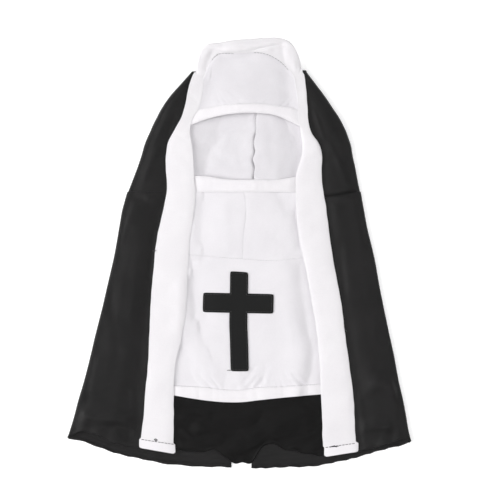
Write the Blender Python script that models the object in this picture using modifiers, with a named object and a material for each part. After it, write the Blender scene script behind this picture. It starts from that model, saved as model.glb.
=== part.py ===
"""A pet's nun costume, laid flat on its back with the face opening up.

Every piece of cloth is a thin wall built through sections worked out from the tables below.
Sizes are in millimetres and are turned into metres when a piece is made.
+Y points to the crown, +X to the viewer's right, and +Z up from the surface that it lies on.
"""
import math

import bpy
import numpy as np

MILLIMETRE = 0.001

# Cloth thicknesses and the space left between neighbours
CLOTH = 1.0
CASING = 1.4
DOUBLED_BAND = 1.6
SEAM_GAP = 0.3

# Heights of the middle of each layer above the surface
BACK_LEVEL = CLOTH / 2
INNER_LEVEL = BACK_LEVEL + CLOTH + SEAM_GAP
FRONT_LEVEL = INNER_LEVEL + CLOTH + SEAM_GAP
BAND_RAISE = 1.8
LEAST_LOFT = 0.2
LOFT_FALL = 0.8
APPLIQUE_RAISE = CLOTH + SEAM_GAP

# Main seam lines across the garment
YOKE_Y = 56.85
CHIN_SEAM_Y = 56.4
RIGHT_YOKE_TILT = 5.3
COIF_BACK_Y = -4.0
PANEL_TOP_Y = -8.0
COIF_TOP_Y = 160.0
VEIL_TOP_Y = {"left": 166.8, "right": 169.2}

# The outer folds of the black halves
FOLD_HEIGHT = 4.4
WIDE_FOLD_ROOM = 999.0
WING_SAG = 1.7
NARROW_WING = 10.0
WIDE_WING = 30.0
TUCK_SHARE = 0.2

# The white inner hood
COIF_FOLD_SHARE = 0.45
COIF_LIP = 2.7
BIB_TUCK_SHARE = 0.35
BIB_MIDDLE_Y = -60.0
PANEL_TUCK = 2.0
PANEL_OVERLAP = 8.0
EDGE_PASSES = 3

# The seam on the underside between the black hood and the rolled band, half an ellipse
CROWN_SEAM_CENTRE = (7.5, 168.0)
CROWN_SEAM_RADII = (44.0, 17.0)
CROWN_SEAM_GAP = 0.8
ROLL_RADIUS = 4.0
CREASE_DEPTH = 1.1
CREASE_STARTS = (0.15, 0.4)
ROLL_PUFF = 0.7

# The slit at the centre back of the hem
SLIT_TOP_Y = -165.0
SLIT_FULL_Y = -188.0
SLIT_WIDTH = 18.4
SIDE_SIGN = {"left": -1.0, "right": 1.0}

# Ruffle waves on the rolled hem, and the gathers beside the elastic
HEM_WAVE = {"left": 0.35, "right": 0.5}
HEM_LIFT = 0.7
HEM_WAVE_COLUMNS = 3
HEM_WAVE_START = 0.88
FOREHEAD_GATHERS = 7
BIB_GATHERS = 8
GATHER_DEPTH = 0.35
GATHER_REACH = 0.3

# The cross on the bib
CROSS_MIDDLE_X = -0.4
CROSS_TOP_Y = -17.05
CROSS_HEIGHT = 92.5
UPRIGHT_WIDTH = 16.8
BAR_LENGTH = 65.6
BAR_HEIGHT = 18.25
BAR_DROP = 20.1
BAR_SLOPE = -0.021

# Plain looks of the two cloths
BLACK_CLOTH = (0.018, 0.017, 0.018, 1.0)
WHITE_CLOTH = (0.86, 0.86, 0.88, 1.0)
CLOTH_ROUGHNESS = 0.75


def table(names, rows):
    """Turns the rows of a table into one array for each named column."""
    return dict(zip(names, np.array(rows, dtype=float).T))


# One row for each section across the garment, from the hem to the crown
SECTIONS = table(
    ("y", "fold_left", "outer_left", "inner_left", "inner_right", "outer_right", "fold_right"),
    [
        (-174, -160.6, -92.5, -61.3, 77.4, 108.4, 159.2),
        (-164, -157.4, -91.1, -61.2, 77.0, 107.8, 156.9),
        (-152, -153.8, -89.8, -61.1, 76.7, 107.3, 154.9),
        (-137, -149.9, -88.8, -61.0, 76.1, 106.2, 152.1),
        (-122, -145.4, -87.6, -61.2, 75.0, 105.1, 148.6),
        (-92, -137.7, -84.8, -57.6, 73.8, 100.3, 142.9),
        (-82, -135.4, -84.5, -55.0, 72.6, 99.1, 140.7),
        (-62, -130.4, -84.3, -50.8, 70.2, 97.1, 136.4),
        (-48, -126.9, -83.4, -49.4, 67.7, 95.2, 133.5),
        (-33, -123.5, -81.7, -48.9, 65.1, 92.0, 130.5),
        (-3, -116.6, -79.6, -47.4, 59.3, 87.0, 125.0),
        (27, -111.3, -74.9, -44.6, 53.8, 82.3, 117.9),
        (40, -109.0, -71.6, -42.4, 52.6, 81.0, 115.6),
        (48, -106.7, -69.6, -41.2, 52.2, 79.5, 114.0),
        (57, -103.4, -68.2, -40.8, 52.0, 78.2, 111.9),
        (68, -99.2, -68.2, -41.9, 52.1, 76.8, 109.6),
        (79, -95.0, -69.2, -42.6, 54.2, 76.6, 107.6),
        (90, -91.3, -69.0, -43.0, 57.4, 76.9, 105.2),
        (101, -88.1, -67.4, -44.2, 58.2, 74.1, 103.2),
        (107, -85.7, -65.0, -45.2, 57.6, 69.9, 101.1),
        (112, -83.3, -62.3, -45.9, 56.6, 66.9, 99.4),
        (118, -80.8, -58.8, -46.0, 55.5, 65.2, 96.6),
        (124, -77.8, -55.5, -44.0, 54.7, 64.0, 93.5),
        (135, -71.9, -51.6, -37.6, 54.2, 63.5, 86.3),
        (146, -64.2, -49.5, -34.8, 53.5, 62.5, 78.9),
        (157, -54.4, -46.9, -33.4, 51.6, 61.6, 70.6),
        (168, -43.8, -42.9, -31.6, 47.2, 59.6, 62.1),
    ],
)

# How far the front stands up from the inner layer at the middle of each section
LOFT = table(
    ("y", "height"),
    [
        (-195, 0.3),
        (-135, 0.7),
        (-60, 1.4),
        (-4, 1.8),
        (30, 2.6),
        (57, 4.2),
        (70, 5.0),
        (100, 6.5),
        (125, 8.0),
        (140, 8.2),
        (165, 7.2),
        (200, 5.6),
    ],
)

# The seams down the middle: the black centre back, the white centre back and the white centre front
MIDDLE_SEAMS = table(
    ("y", "black_back", "white_back", "white_front"),
    [
        (-200, 1.7, 14.0, 2.4),
        (-4, 4.6, 14.0, 2.5),
        (20, 4.9, 14.2, 3.8),
        (40, 5.2, 14.6, 6.0),
        (57, 5.5, 15.0, 4.2),
        (86, 5.9, 13.2, 4.2),
        (102, 6.2, 14.2, 4.2),
        (130, 6.6, 15.6, 4.2),
        (188, 7.4, 15.0, 4.2),
    ],
)

BACK_HEM = table(
    ("x", "y"),
    [
        (-160.6, -172.2),
        (-147.0, -174.7),
        (-133.8, -179.1),
        (-112.0, -186.3),
        (-85.6, -191.9),
        (-65.8, -195.8),
        (-41.9, -197.9),
        (-30.0, -198.8),
        (-7.9, -198.9),
        (13.0, -200.2),
        (25.0, -199.8),
        (40.0, -199.1),
        (67.5, -198.1),
        (88.2, -194.2),
        (103.0, -191.3),
        (118.7, -187.3),
        (134.0, -183.3),
        (150.2, -179.5),
        (159.5, -176.0),
    ],
)

# The hem of the front layer, which the ends of the band also follow
FRONT_HEM = table(
    ("x", "y"),
    [
        (-159.8, -171.0),
        (-149.0, -166.0),
        (-136.0, -168.0),
        (-111.0, -178.0),
        (-94.0, -180.9),
        (-62.0, -186.2),
        (79.0, -188.9),
        (111.0, -184.2),
        (127.0, -180.3),
        (143.0, -175.2),
        (152.0, -172.8),
        (159.5, -173.6),
    ],
)

PANEL_HEM = table(
    ("x", "y"),
    [
        (-95.0, -181.0),
        (-55.4, -183.2),
        (-35.3, -185.1),
        (-24.2, -183.2),
        (-13.0, -189.5),
        (-7.4, -194.0),
        (2.0, -194.4),
        (11.5, -194.0),
        (22.7, -178.8),
        (29.2, -177.3),
        (42.8, -182.8),
        (56.2, -185.1),
        (73.8, -188.5),
        (110.0, -186.0),
    ],
)

# Edges of the white pieces, from left to right
WHITE_EDGES = table(
    ("x", "neck_seam", "bib_casing", "bib_end", "chin_top", "brow_low", "brow_top"),
    [
        (-90, -1.0, -122.0, -131.0, 71.5, 106.0, 124.0),
        (-62, -1.0, -123.0, -132.2, 71.5, 112.5, 128.0),
        (-46, -1.6, -124.0, -134.8, 71.5, 118.4, 131.0),
        (-30, -3.0, -124.9, -137.1, 71.1, 124.1, 134.8),
        (-14, -4.3, -126.9, -138.5, 68.6, 127.9, 137.5),
        (2, -5.3, -127.1, -138.5, 67.9, 129.6, 138.5),
        (18, -6.6, -124.7, -136.7, 68.3, 129.5, 138.6),
        (34, -7.0, -124.2, -135.0, 67.9, 127.3, 136.9),
        (50, -5.2, -123.2, -133.4, 70.4, 120.5, 134.0),
        (66, -3.7, -122.2, -132.0, 71.5, 112.0, 130.0),
        (100, -3.0, -121.0, -130.0, 71.5, 100.0, 124.0),
    ],
)

# The band round the crown, from left to right: its inner seam, the outline, the share of the roll
# that is wrapped under, and how far across the band the roll's lower crease lies
CROWN = table(
    ("inner_x", "inner_y", "outer_x", "outer_y", "wrap", "crease"),
    [
        (-32.7, 163.0, -43.0, 167.5, 0.0, 0.1),
        (-31.6, 167.0, -41.6, 171.3, 0.35, 0.1),
        (-29.6, 172.2, -39.3, 176.8, 0.8, 0.1),
        (-27.0, 177.3, -37.3, 182.4, 1.0, 0.1),
        (-23.7, 181.6, -34.9, 187.4, 1.0, 0.1),
        (-20.0, 184.3, -30.6, 191.9, 1.0, 0.1),
        (-14.0, 185.1, -20.0, 194.9, 1.0, 0.1),
        (-6.0, 184.9, -9.0, 197.2, 1.0, 0.1),
        (3.0, 185.1, 3.5, 198.4, 1.0, 0.15),
        (12.0, 185.9, 15.0, 199.2, 1.0, 0.22),
        (20.0, 185.6, 26.0, 199.9, 1.0, 0.4),
        (27.0, 183.8, 35.5, 199.9, 1.0, 0.65),
        (33.0, 181.0, 43.0, 198.2, 1.0, 0.8),
        (38.5, 177.2, 49.0, 194.0, 1.0, 0.9),
        (43.0, 172.9, 53.5, 186.6, 1.0, 0.9),
        (46.5, 168.6, 56.3, 178.5, 0.8, 0.9),
        (49.0, 165.6, 57.9, 173.8, 0.35, 0.9),
        (50.4, 163.0, 59.0, 170.6, 0.0, 0.9),
    ],
)

# The largest soft folds, each a ridge or a trough along a line
FOLD_NAMES = ("start_x", "start_y", "end_x", "end_y", "width", "height")
FRONT_FOLDS = table(
    FOLD_NAMES,
    [
        (-47, -28, -38, -82, 5.0, 0.9),
        (-52, -60, -50, -112, 5.0, -0.5),
        (52, -14, 62, -70, 6.0, 0.8),
        (66, -72, 68, -118, 5.0, 0.8),
        (58, -66, 61, -116, 4.0, -0.5),
        (-28, -4, -44, -30, 5.0, -0.4),
        (30, 42, 40, 6, 6.0, 0.5),
        (-24, 48, -34, 8, 6.0, -0.5),
        (12, 112, 12, 60, 7.0, 0.3),
    ],
)
PANEL_FOLDS = table(
    FOLD_NAMES,
    [
        (4, -174, 54, -154, 5.0, 1.6),
        (-44, -160, -8, -170, 6.0, 0.9),
        (30, -183, 62, -174, 3.5, 1.3),
    ],
)
WING_FOLDS = table(
    FOLD_NAMES,
    [
        (-86, 52, -74, 54, 3.0, 0.9),
        (-92, 20, -100, -60, 6.0, 0.8),
        (-104, -90, -116, -150, 7.0, 0.8),
        (-62, 140, -74, 112, 4.0, 0.5),
        (90, 40, 104, -30, 6.0, 0.8),
        (112, -70, 126, -150, 7.0, 0.9),
        (72, 140, 84, 112, 4.0, 0.5),
        (100, 62, 92, 84, 4.0, 0.6),
    ],
)

# Shares of the way along each piece at which it has a section
CAPE_ROWS = (0.0, 0.08, 0.17, 0.27, 0.37, 0.48, 0.6, 0.71, 0.81, 0.9, 0.96, 0.985, 1.0)
PANEL_ROWS = (0.0, 0.35, 0.65, 0.74, 0.8, 0.85, 0.9, 0.95, 1.0)
BIB_ROWS = (0.0, 0.1, 0.22, 0.35, 0.48, 0.61, 0.74, 0.86, 0.94, 1.0)
FOREHEAD_ROWS = (0.0, 0.08, 0.2, 0.36, 0.54, 0.76, 1.0)
VEIL_Y = (YOKE_Y, 68, 79, 90, 101, 112, 124, 135, 146, 157)
VEIL_CROWN_Y = (175, 179, 182, 184.6)
COIF_NECK_SHARES = (0.0, 0.25, 0.5, 0.75, 1.0)
COIF_HEAD_Y = (64, 72, 82, 94, 106, 115, 123, 131, 140, 150, COIF_TOP_Y)
BAND_LEG_Y = (
    -172, -164, -150, -130, -105, -75, -45, -15, 15, 40,
    57, 68, 79, 90, 101, 112, 124, 135, 146, 157,
)

BACK_COLUMNS = {"veil": 9, "cape": 29, "coif": 6}
FOLD_COLUMNS = 5
WING_COLUMNS = {"veil": 8, "cape": 15}
LIP_COLUMNS = 1
NECK_COLUMNS = 6
PANEL_COLUMNS = 27
CASING_COLUMNS = 21
CASING_ROWS = (0.0, 0.5, 1.0)
BAND_TOP_COLUMNS = 5
BAND_ROLL_COLUMNS = 4
BAND_UNDER_COLUMNS = 2
TURNED_END_LENGTH = 9.0
TURNED_END_WIDENING = 1.3


def smooth(source, name, at, station="y"):
    """Reads a table's column at any place, as a smooth curve through its rows."""
    places = source[station]
    values = source[name]
    at = np.clip(at, places[0], places[-1])
    low = np.clip(np.searchsorted(places, at) - 1, 0, len(places) - 2)
    step = places[low + 1] - places[low]
    t = (at - places[low]) / step
    slope = np.gradient(values, places)
    start = (1 + 2 * t) * (1 - t) ** 2 * values[low] + t * (1 - t) ** 2 * step * slope[low]
    end = t ** 2 * (3 - 2 * t) * values[low + 1] - t ** 2 * (1 - t) * step * slope[low + 1]
    return start + end


def ease(value, start, end):
    """Rises softly from 0 at start to 1 at end."""
    t = np.clip((value - start) / (end - start), 0.0, 1.0)
    return t * t * (3 - 2 * t)


def folds_height(folds, x, y):
    """How far the folds of one layer lift a point: each is a soft ridge that fades from its line."""
    along_x = folds["end_x"] - folds["start_x"]
    along_y = folds["end_y"] - folds["start_y"]
    share = (x - folds["start_x"]) * along_x + (y - folds["start_y"]) * along_y
    share = np.clip(share / (along_x ** 2 + along_y ** 2), 0.0, 1.0)
    away_x = x - folds["start_x"] - share * along_x
    away_y = y - folds["start_y"] - share * along_y
    fade = np.exp(-(away_x ** 2 + away_y ** 2) / folds["width"] ** 2)
    return float(np.sum(folds["height"] * fade))


def front_height(x, y):
    """Height of the middle of the front layer: highest in the middle, lower beyond the band."""
    left = smooth(SECTIONS, "inner_left", y)
    right = smooth(SECTIONS, "inner_right", y)
    offset = (x - (left + right) / 2) / ((right - left) / 2)
    loft = smooth(LOFT, "height", y) / (1 + LOFT_FALL * offset ** 2)
    return FRONT_LEVEL + max(LEAST_LOFT, loft + folds_height(FRONT_FOLDS, x, y))


def gathers(share, count, fade):
    """Waves of cloth drawn up by elastic, deepest where fade is 1."""
    return GATHER_DEPTH * math.cos(2 * math.pi * count * share) * fade


def clear_scene():
    """Removes what a new file holds."""
    for item in list(bpy.data.objects):
        bpy.data.objects.remove(item, do_unlink=True)


def cloth_material(name, colour):
    """A plain cloth surface of one colour."""
    made = bpy.data.materials.new(name)
    made.use_nodes = True
    shader = made.node_tree.nodes["Principled BSDF"]
    shader.inputs["Base Color"].default_value = colour
    shader.inputs["Roughness"].default_value = CLOTH_ROUGHNESS
    shader.inputs["Metallic"].default_value = 0.0
    return made


def sheet(name, points, colour, thickness=CLOTH, keep=None):
    """Makes one piece of cloth: an open grid of points, thickened evenly to both sides.

    points has a row for each section, each with one (x, y, z) for each column.
    keep(row, column) says which squares of the grid are cloth.
    """
    grid = np.array(points, dtype=float)
    rows, columns = grid.shape[:2]
    squares = []
    for row in range(rows - 1):
        for column in range(columns - 1):
            if keep is None or keep(row, column):
                corner = row * columns + column
                squares.append((corner, corner + 1, corner + columns + 1, corner + columns))
    used = sorted({corner for square in squares for corner in square})
    renumbered = {old: new for new, old in enumerate(used)}
    corners = grid.reshape(-1, 3)[used] * MILLIMETRE
    middle = (corners.min(axis=0) + corners.max(axis=0)) / 2
    faces = [tuple(renumbered[corner] for corner in square) for square in squares]
    mesh = bpy.data.meshes.new(name)
    mesh.from_pydata([tuple(corner - middle) for corner in corners], [], faces)
    mesh.shade_smooth()
    mesh.materials.append(cloth_material(name + "_cloth", colour))
    piece = bpy.data.objects.new(name, mesh)
    piece.location = middle
    garment.objects.link(piece)
    piece.parent = garment_root
    wall = piece.modifiers.new("Cloth thickness", "SOLIDIFY")
    wall.thickness = thickness * MILLIMETRE
    wall.offset = 0.0
    return piece


def folded_section(seam_x, fold_x, low, high, back_columns, room=WIDE_FOLD_ROOM):
    """Points (x, z) from a back seam out to a fold and round it to its top."""
    side = math.copysign(1.0, fold_x - seam_x)
    radius = (high - low) / 2
    reach = min(radius, room)
    turn_x = fold_x - side * (reach + CLOTH / 2)
    section = []
    for column in range(back_columns):
        share = column / (back_columns - 1)
        section.append((seam_x + (turn_x - seam_x) * share, low))
    for column in range(1, FOLD_COLUMNS + 1):
        angle = math.pi * column / FOLD_COLUMNS
        x = turn_x + side * reach * math.sin(angle)
        z = low + radius * (1 - math.cos(angle))
        section.append((x, z))
    return section


def wing_end_x(side, y):
    """Where the front of a black half ends, tucked under the band."""
    outer = smooth(SECTIONS, "outer_" + side, y)
    inner = smooth(SECTIONS, "inner_" + side, y)
    return outer + TUCK_SHARE * (inner - outer)


def black_seam_x(side, y):
    """The centre-back edge of a black half, which opens into a slit at the hem."""
    opening = SEAM_GAP + SLIT_WIDTH * (1 - ease(y, SLIT_FULL_Y, SLIT_TOP_Y))
    return smooth(MIDDLE_SEAMS, "black_back", y) + SIDE_SIGN[side] * opening / 2


def black_point(side, piece, column, y):
    """The point of a black half's section in one column, at height y up the garment."""
    back_columns = BACK_COLUMNS[piece]
    wing_columns = WING_COLUMNS[piece]
    fold_x = smooth(SECTIONS, "fold_" + side, y)
    top = BACK_LEVEL + FOLD_HEIGHT
    section = folded_section(black_seam_x(side, y), fold_x, BACK_LEVEL, top, back_columns)
    if column < len(section):
        return section[column]
    share = (column - len(section) + 1) / wing_columns
    start_x, start_z = section[-1]
    end_x = wing_end_x(side, y)
    x = start_x + (end_x - start_x) * share
    width = abs(end_x - start_x)
    sag = WING_SAG * ease(width, NARROW_WING, WIDE_WING) * math.sin(math.pi * share) ** 1.5
    z = start_z + (front_height(end_x, y) - start_z) * share - sag
    return x, z + folds_height(WING_FOLDS, x, y) * math.sin(math.pi * share)


def wing_share(piece, column):
    """How far along the front a column lies, 0 on the back and the fold."""
    first = BACK_COLUMNS[piece] + FOLD_COLUMNS - 1
    return max(0.0, (column - first) / WING_COLUMNS[piece])


def yoke_y(side, piece, column):
    """The yoke seam, which slopes down towards the band on the right."""
    tilt = RIGHT_YOKE_TILT if side == "right" else 0.0
    return YOKE_Y - tilt * wing_share(piece, column)


def veil(side):
    """A half of the black hood, from the yoke seam to the crown."""
    back_columns = BACK_COLUMNS["veil"]
    columns = back_columns + FOLD_COLUMNS + WING_COLUMNS["veil"]
    sign = SIDE_SIGN[side]
    top = VEIL_TOP_Y[side]
    grid = []
    for y in VEIL_Y + (top,):
        row = []
        for column in range(columns):
            rise = (y - YOKE_Y) / (top - YOKE_Y)
            place = yoke_y(side, "veil", column) * (1 - rise) + top * rise
            x, z = black_point(side, "veil", column, place)
            row.append((x, place, z))
        grid.append(row)
    for y in VEIL_CROWN_Y:
        seam_x = black_seam_x(side, y)
        rise = (y - CROWN_SEAM_CENTRE[1]) / CROWN_SEAM_RADII[1]
        edge_x = CROWN_SEAM_CENTRE[0] + sign * CROWN_SEAM_RADII[0] * math.sqrt(1 - rise ** 2)
        row = []
        for column in range(columns):
            share = min(1.0, column / (back_columns - 1))
            row.append((seam_x + (edge_x - seam_x) * share, y, BACK_LEVEL))
        grid.append(row)
    wrapped_rows = len(VEIL_Y)

    def is_cloth(row, column):
        return row < wrapped_rows or column < back_columns - 1

    sheet("veil_" + side, grid, BLACK_CLOTH, keep=is_cloth)


def cape(side):
    """A half of the black cape, from the yoke seam to its rippled hem."""
    columns = BACK_COLUMNS["cape"] + FOLD_COLUMNS + WING_COLUMNS["cape"]
    corner_y = BACK_HEM["y"][0 if side == "left" else -1]
    grid = []
    for share in CAPE_ROWS:
        row = []
        for column in range(columns):
            wing = wing_share("cape", column)
            on_fold = BACK_COLUMNS["cape"] <= column and wing == 0.0
            hem_source = FRONT_HEM if wing > 0.0 else BACK_HEM
            hem_x = black_point(side, "cape", column, corner_y)[0]
            hem_y = corner_y if on_fold else smooth(hem_source, "y", hem_x, "x")
            near_hem = ease(share, HEM_WAVE_START, 1.0)
            ripple = math.cos(2 * math.pi * column / HEM_WAVE_COLUMNS) * near_hem
            top_y = yoke_y(side, "cape", column) - SEAM_GAP
            y = top_y + (hem_y - top_y) * share + HEM_WAVE[side] * ripple
            x, z = black_point(side, "cape", column, y)
            if wing > 0.0:
                z += HEM_LIFT * (1 + ripple) / 2 * near_hem * (1 - wing)
            row.append((x, y, z))
        grid.append(row)
    sheet("cape_" + side, grid, BLACK_CLOTH)


def front_panel():
    """The black layer inside, between the bands, with a hem of its own."""
    hem_left = SECTIONS["outer_left"][0] + PANEL_OVERLAP
    hem_right = SECTIONS["outer_right"][0] - PANEL_OVERLAP
    grid = []
    for share in PANEL_ROWS:
        row = []
        for column in range(PANEL_COLUMNS):
            across = column / (PANEL_COLUMNS - 1)
            hem_y = smooth(PANEL_HEM, "y", hem_left + (hem_right - hem_left) * across, "x")
            y = PANEL_TOP_Y + (hem_y - PANEL_TOP_Y) * share
            left = smooth(SECTIONS, "outer_left", y) + PANEL_OVERLAP
            right = smooth(SECTIONS, "outer_right", y) - PANEL_OVERLAP
            x = left + (right - left) * across
            row.append((x, y, INNER_LEVEL + folds_height(PANEL_FOLDS, x, y)))
        grid.append(row)
    sheet("front_panel", grid, BLACK_CLOTH)


def coif_fold_x(side, y):
    """The outer fold of the white hood, hidden under the band."""
    inner = smooth(SECTIONS, "inner_" + side, y)
    outer = smooth(SECTIONS, "outer_" + side, y)
    return inner + COIF_FOLD_SHARE * (outer - inner)


def coif_point(side, column, y):
    """The point of a white half's section in one column."""
    sign = SIDE_SIGN[side]
    wrapped = BACK_COLUMNS["coif"] + FOLD_COLUMNS + LIP_COLUMNS
    back_x = smooth(MIDDLE_SEAMS, "white_back", y) + sign * SEAM_GAP / 2
    lip_x = smooth(SECTIONS, "inner_" + side, y) + sign * COIF_LIP
    fold_x = coif_fold_x(side, y)
    room = abs(fold_x - lip_x) - CLOTH
    high = front_height(fold_x, y)
    section = folded_section(back_x, fold_x, INNER_LEVEL, high, BACK_COLUMNS["coif"], room)
    section.append((lip_x, front_height(lip_x, y)))
    if column < wrapped:
        return section[column]
    front_x = smooth(MIDDLE_SEAMS, "white_front", y) + sign * SEAM_GAP / 2
    share = (column - wrapped + 1) / NECK_COLUMNS
    x = lip_x + (front_x - lip_x) * share
    return x, front_height(x, y)


def coif(side):
    """A half of the white hood: its back, its outer fold, and the front of the neck."""
    back_columns = BACK_COLUMNS["coif"]
    wrapped = back_columns + FOLD_COLUMNS + LIP_COLUMNS
    columns = wrapped + NECK_COLUMNS
    grid = []
    for level in range(len(COIF_NECK_SHARES) + len(COIF_HEAD_Y)):
        row = []
        for column in range(columns):
            in_neck = level < len(COIF_NECK_SHARES)
            if in_neck:
                low_y = COIF_BACK_Y
                if column >= back_columns:
                    low_x = coif_point(side, column, COIF_BACK_Y)[0]
                    low_y = smooth(WHITE_EDGES, "neck_seam", low_x, "x")
                y = low_y + (CHIN_SEAM_Y - low_y) * COIF_NECK_SHARES[level]
            else:
                y = COIF_HEAD_Y[level - len(COIF_NECK_SHARES)]
            x, z = coif_point(side, column, y)
            row.append((x, y, z))
        grid.append(row)
    neck_rows = len(COIF_NECK_SHARES) - 1

    def is_cloth(row, column):
        return row < neck_rows or column < wrapped - 1

    sheet("coif_" + side, grid, WHITE_CLOTH, keep=is_cloth)


def casing(name, low_edge, high_edge):
    """An elastic casing between two edges, its ends tucked under the band."""
    grid = []
    for share in CASING_ROWS:
        row = []
        for column in range(CASING_COLUMNS):
            across = column / (CASING_COLUMNS - 1)
            y = low_edge(0.0) * (1 - share) + high_edge(0.0) * share
            for _ in range(EDGE_PASSES):
                left = smooth(SECTIONS, "inner_left", y) - PANEL_TUCK
                right = smooth(SECTIONS, "inner_right", y) + PANEL_TUCK
                x = left + (right - left) * across
                y = low_edge(x) * (1 - share) + high_edge(x) * share
            row.append((x, y, front_height(x, y)))
        grid.append(row)
    sheet(name, grid, WHITE_CLOTH, thickness=CASING)


def forehead_binding():
    """The elastic casing over the face opening."""
    def low_edge(x):
        return smooth(WHITE_EDGES, "brow_low", x, "x")

    def high_edge(x):
        return smooth(WHITE_EDGES, "brow_top", x, "x") - SEAM_GAP / 2

    casing("forehead_binding", low_edge, high_edge)


def chin_binding():
    """The elastic casing under the face opening."""
    def low_edge(x):
        return CHIN_SEAM_Y + SEAM_GAP

    def high_edge(x):
        return smooth(WHITE_EDGES, "chin_top", x, "x")

    casing("chin_binding", low_edge, high_edge)


def crown_seam_point(share):
    """A point of the curved seam between forehead and band, from its left end to its right."""
    inner_x = CROWN["inner_x"]
    inner_y = CROWN["inner_y"]
    lengths = np.hypot(np.diff(inner_x), np.diff(inner_y))
    travelled = np.concatenate(([0.0], np.cumsum(lengths)))
    at = share * travelled[-1]
    return np.interp(at, travelled, inner_x), np.interp(at, travelled, inner_y)


def forehead():
    """The white panel from the casing up to the curved seam under the band."""
    columns = 4 * FOREHEAD_GATHERS + 1
    middle_x, middle_y = CROWN_SEAM_CENTRE
    grid = []
    for share in FOREHEAD_ROWS:
        row = []
        for column in range(columns):
            across = column / (columns - 1)
            top_x, top_y = crown_seam_point(across)
            length = math.hypot(top_x - middle_x, top_y - middle_y)
            top_x += PANEL_TUCK * (top_x - middle_x) / length
            top_y += PANEL_TUCK * (top_y - middle_y) / length
            x = top_x
            for _ in range(EDGE_PASSES):
                low_y = smooth(WHITE_EDGES, "brow_top", x, "x") + SEAM_GAP / 2
                y = low_y + (top_y - low_y) * share
                left = smooth(SECTIONS, "inner_left", y) - PANEL_TUCK
                right = smooth(SECTIONS, "inner_right", y) + PANEL_TUCK
                x = (1 - share) * (left + (right - left) * across) + share * top_x
            fade = (1 - ease(share, 0.0, GATHER_REACH)) * math.sin(math.pi * across)
            z = front_height(x, y) + gathers(across, FOREHEAD_GATHERS, fade)
            row.append((x, y, z))
        grid.append(row)
    sheet("forehead", grid, WHITE_CLOTH)


def bib_side_x(side, y):
    """Where the bib ends under the band."""
    inner = smooth(SECTIONS, "inner_" + side, y)
    outer = smooth(SECTIONS, "outer_" + side, y)
    return inner + BIB_TUCK_SHARE * (outer - inner)


def bib_point(across, share):
    """A point of the bib, from its left edge to its right and from the neck seam to the casing."""
    y = BIB_MIDDLE_Y
    for _ in range(EDGE_PASSES):
        left = bib_side_x("left", y)
        right = bib_side_x("right", y)
        x = left + (right - left) * across
        top_y = smooth(WHITE_EDGES, "neck_seam", x, "x") - SEAM_GAP
        low_y = smooth(WHITE_EDGES, "bib_casing", x, "x") + SEAM_GAP / 2
        y = top_y + (low_y - top_y) * share
    fade = ease(share, 1 - GATHER_REACH, 1.0) * math.sin(math.pi * across)
    return x, y, front_height(x, y) + gathers(across, BIB_GATHERS, fade)


def bib():
    """The white panel that hangs from the neck seam."""
    columns = 4 * BIB_GATHERS + 1
    grid = [[bib_point(column / (columns - 1), share) for column in range(columns)] for share in BIB_ROWS]
    sheet("bib", grid, WHITE_CLOTH)


def bib_hem():
    """The elastic casing along the bottom of the bib."""
    columns = 4 * BIB_GATHERS + 1
    grid = []
    for share in CASING_ROWS:
        row = []
        for column in range(columns):
            x = bib_point(column / (columns - 1), 1.0)[0]
            top_y = smooth(WHITE_EDGES, "bib_casing", x, "x") - SEAM_GAP / 2
            low_y = smooth(WHITE_EDGES, "bib_end", x, "x")
            y = top_y + (low_y - top_y) * share
            row.append((x, y, front_height(x, y)))
        grid.append(row)
    sheet("bib_hem", grid, WHITE_CLOTH, thickness=CASING)


def cross():
    """The plain cross sewn on the bib, moved out from the bib's own height."""
    half_width = UPRIGHT_WIDTH / 2
    half_bar = BAR_LENGTH / 2
    columns = np.concatenate((
        np.linspace(-half_bar, -half_width, 4),
        np.linspace(-half_width, half_width, 3)[1:],
        np.linspace(half_width, half_bar, 4)[1:],
    ))
    bar_top = -BAR_DROP
    bar_low = bar_top - BAR_HEIGHT
    rows = np.concatenate((
        np.linspace(0.0, bar_top, 3),
        np.linspace(bar_top, bar_low, 3)[1:],
        np.linspace(bar_low, -CROSS_HEIGHT, 6)[1:],
    ))
    grid = []
    for down in rows:
        row = []
        slope = BAR_SLOPE if bar_low <= down <= bar_top else 0.0
        for along in columns:
            x = CROSS_MIDDLE_X + along
            y = CROSS_TOP_Y + down + slope * along
            row.append((x, y, front_height(x, y) + APPLIQUE_RAISE))
        grid.append(row)

    def is_cloth(row, column):
        in_upright = abs(columns[column] + columns[column + 1]) / 2 < half_width
        in_bar = bar_low < (rows[row] + rows[row + 1]) / 2 < bar_top
        return in_upright or in_bar

    sheet("cross", grid, BLACK_CLOTH, keep=is_cloth)


def band_height(x, y):
    """Height of the middle of the band where it lies on the front."""
    return front_height(x, y) + BAND_RAISE


def flat_band_section(inner, outer, columns):
    """The band lying flat from its inner edge to its outer edge."""
    section = []
    for column in range(columns):
        share = column / (columns - 1)
        x = inner[0] + (outer[0] - inner[0]) * share
        y = inner[1] + (outer[1] - inner[1]) * share
        section.append((x, y, band_height(x, y)))
    return section


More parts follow.
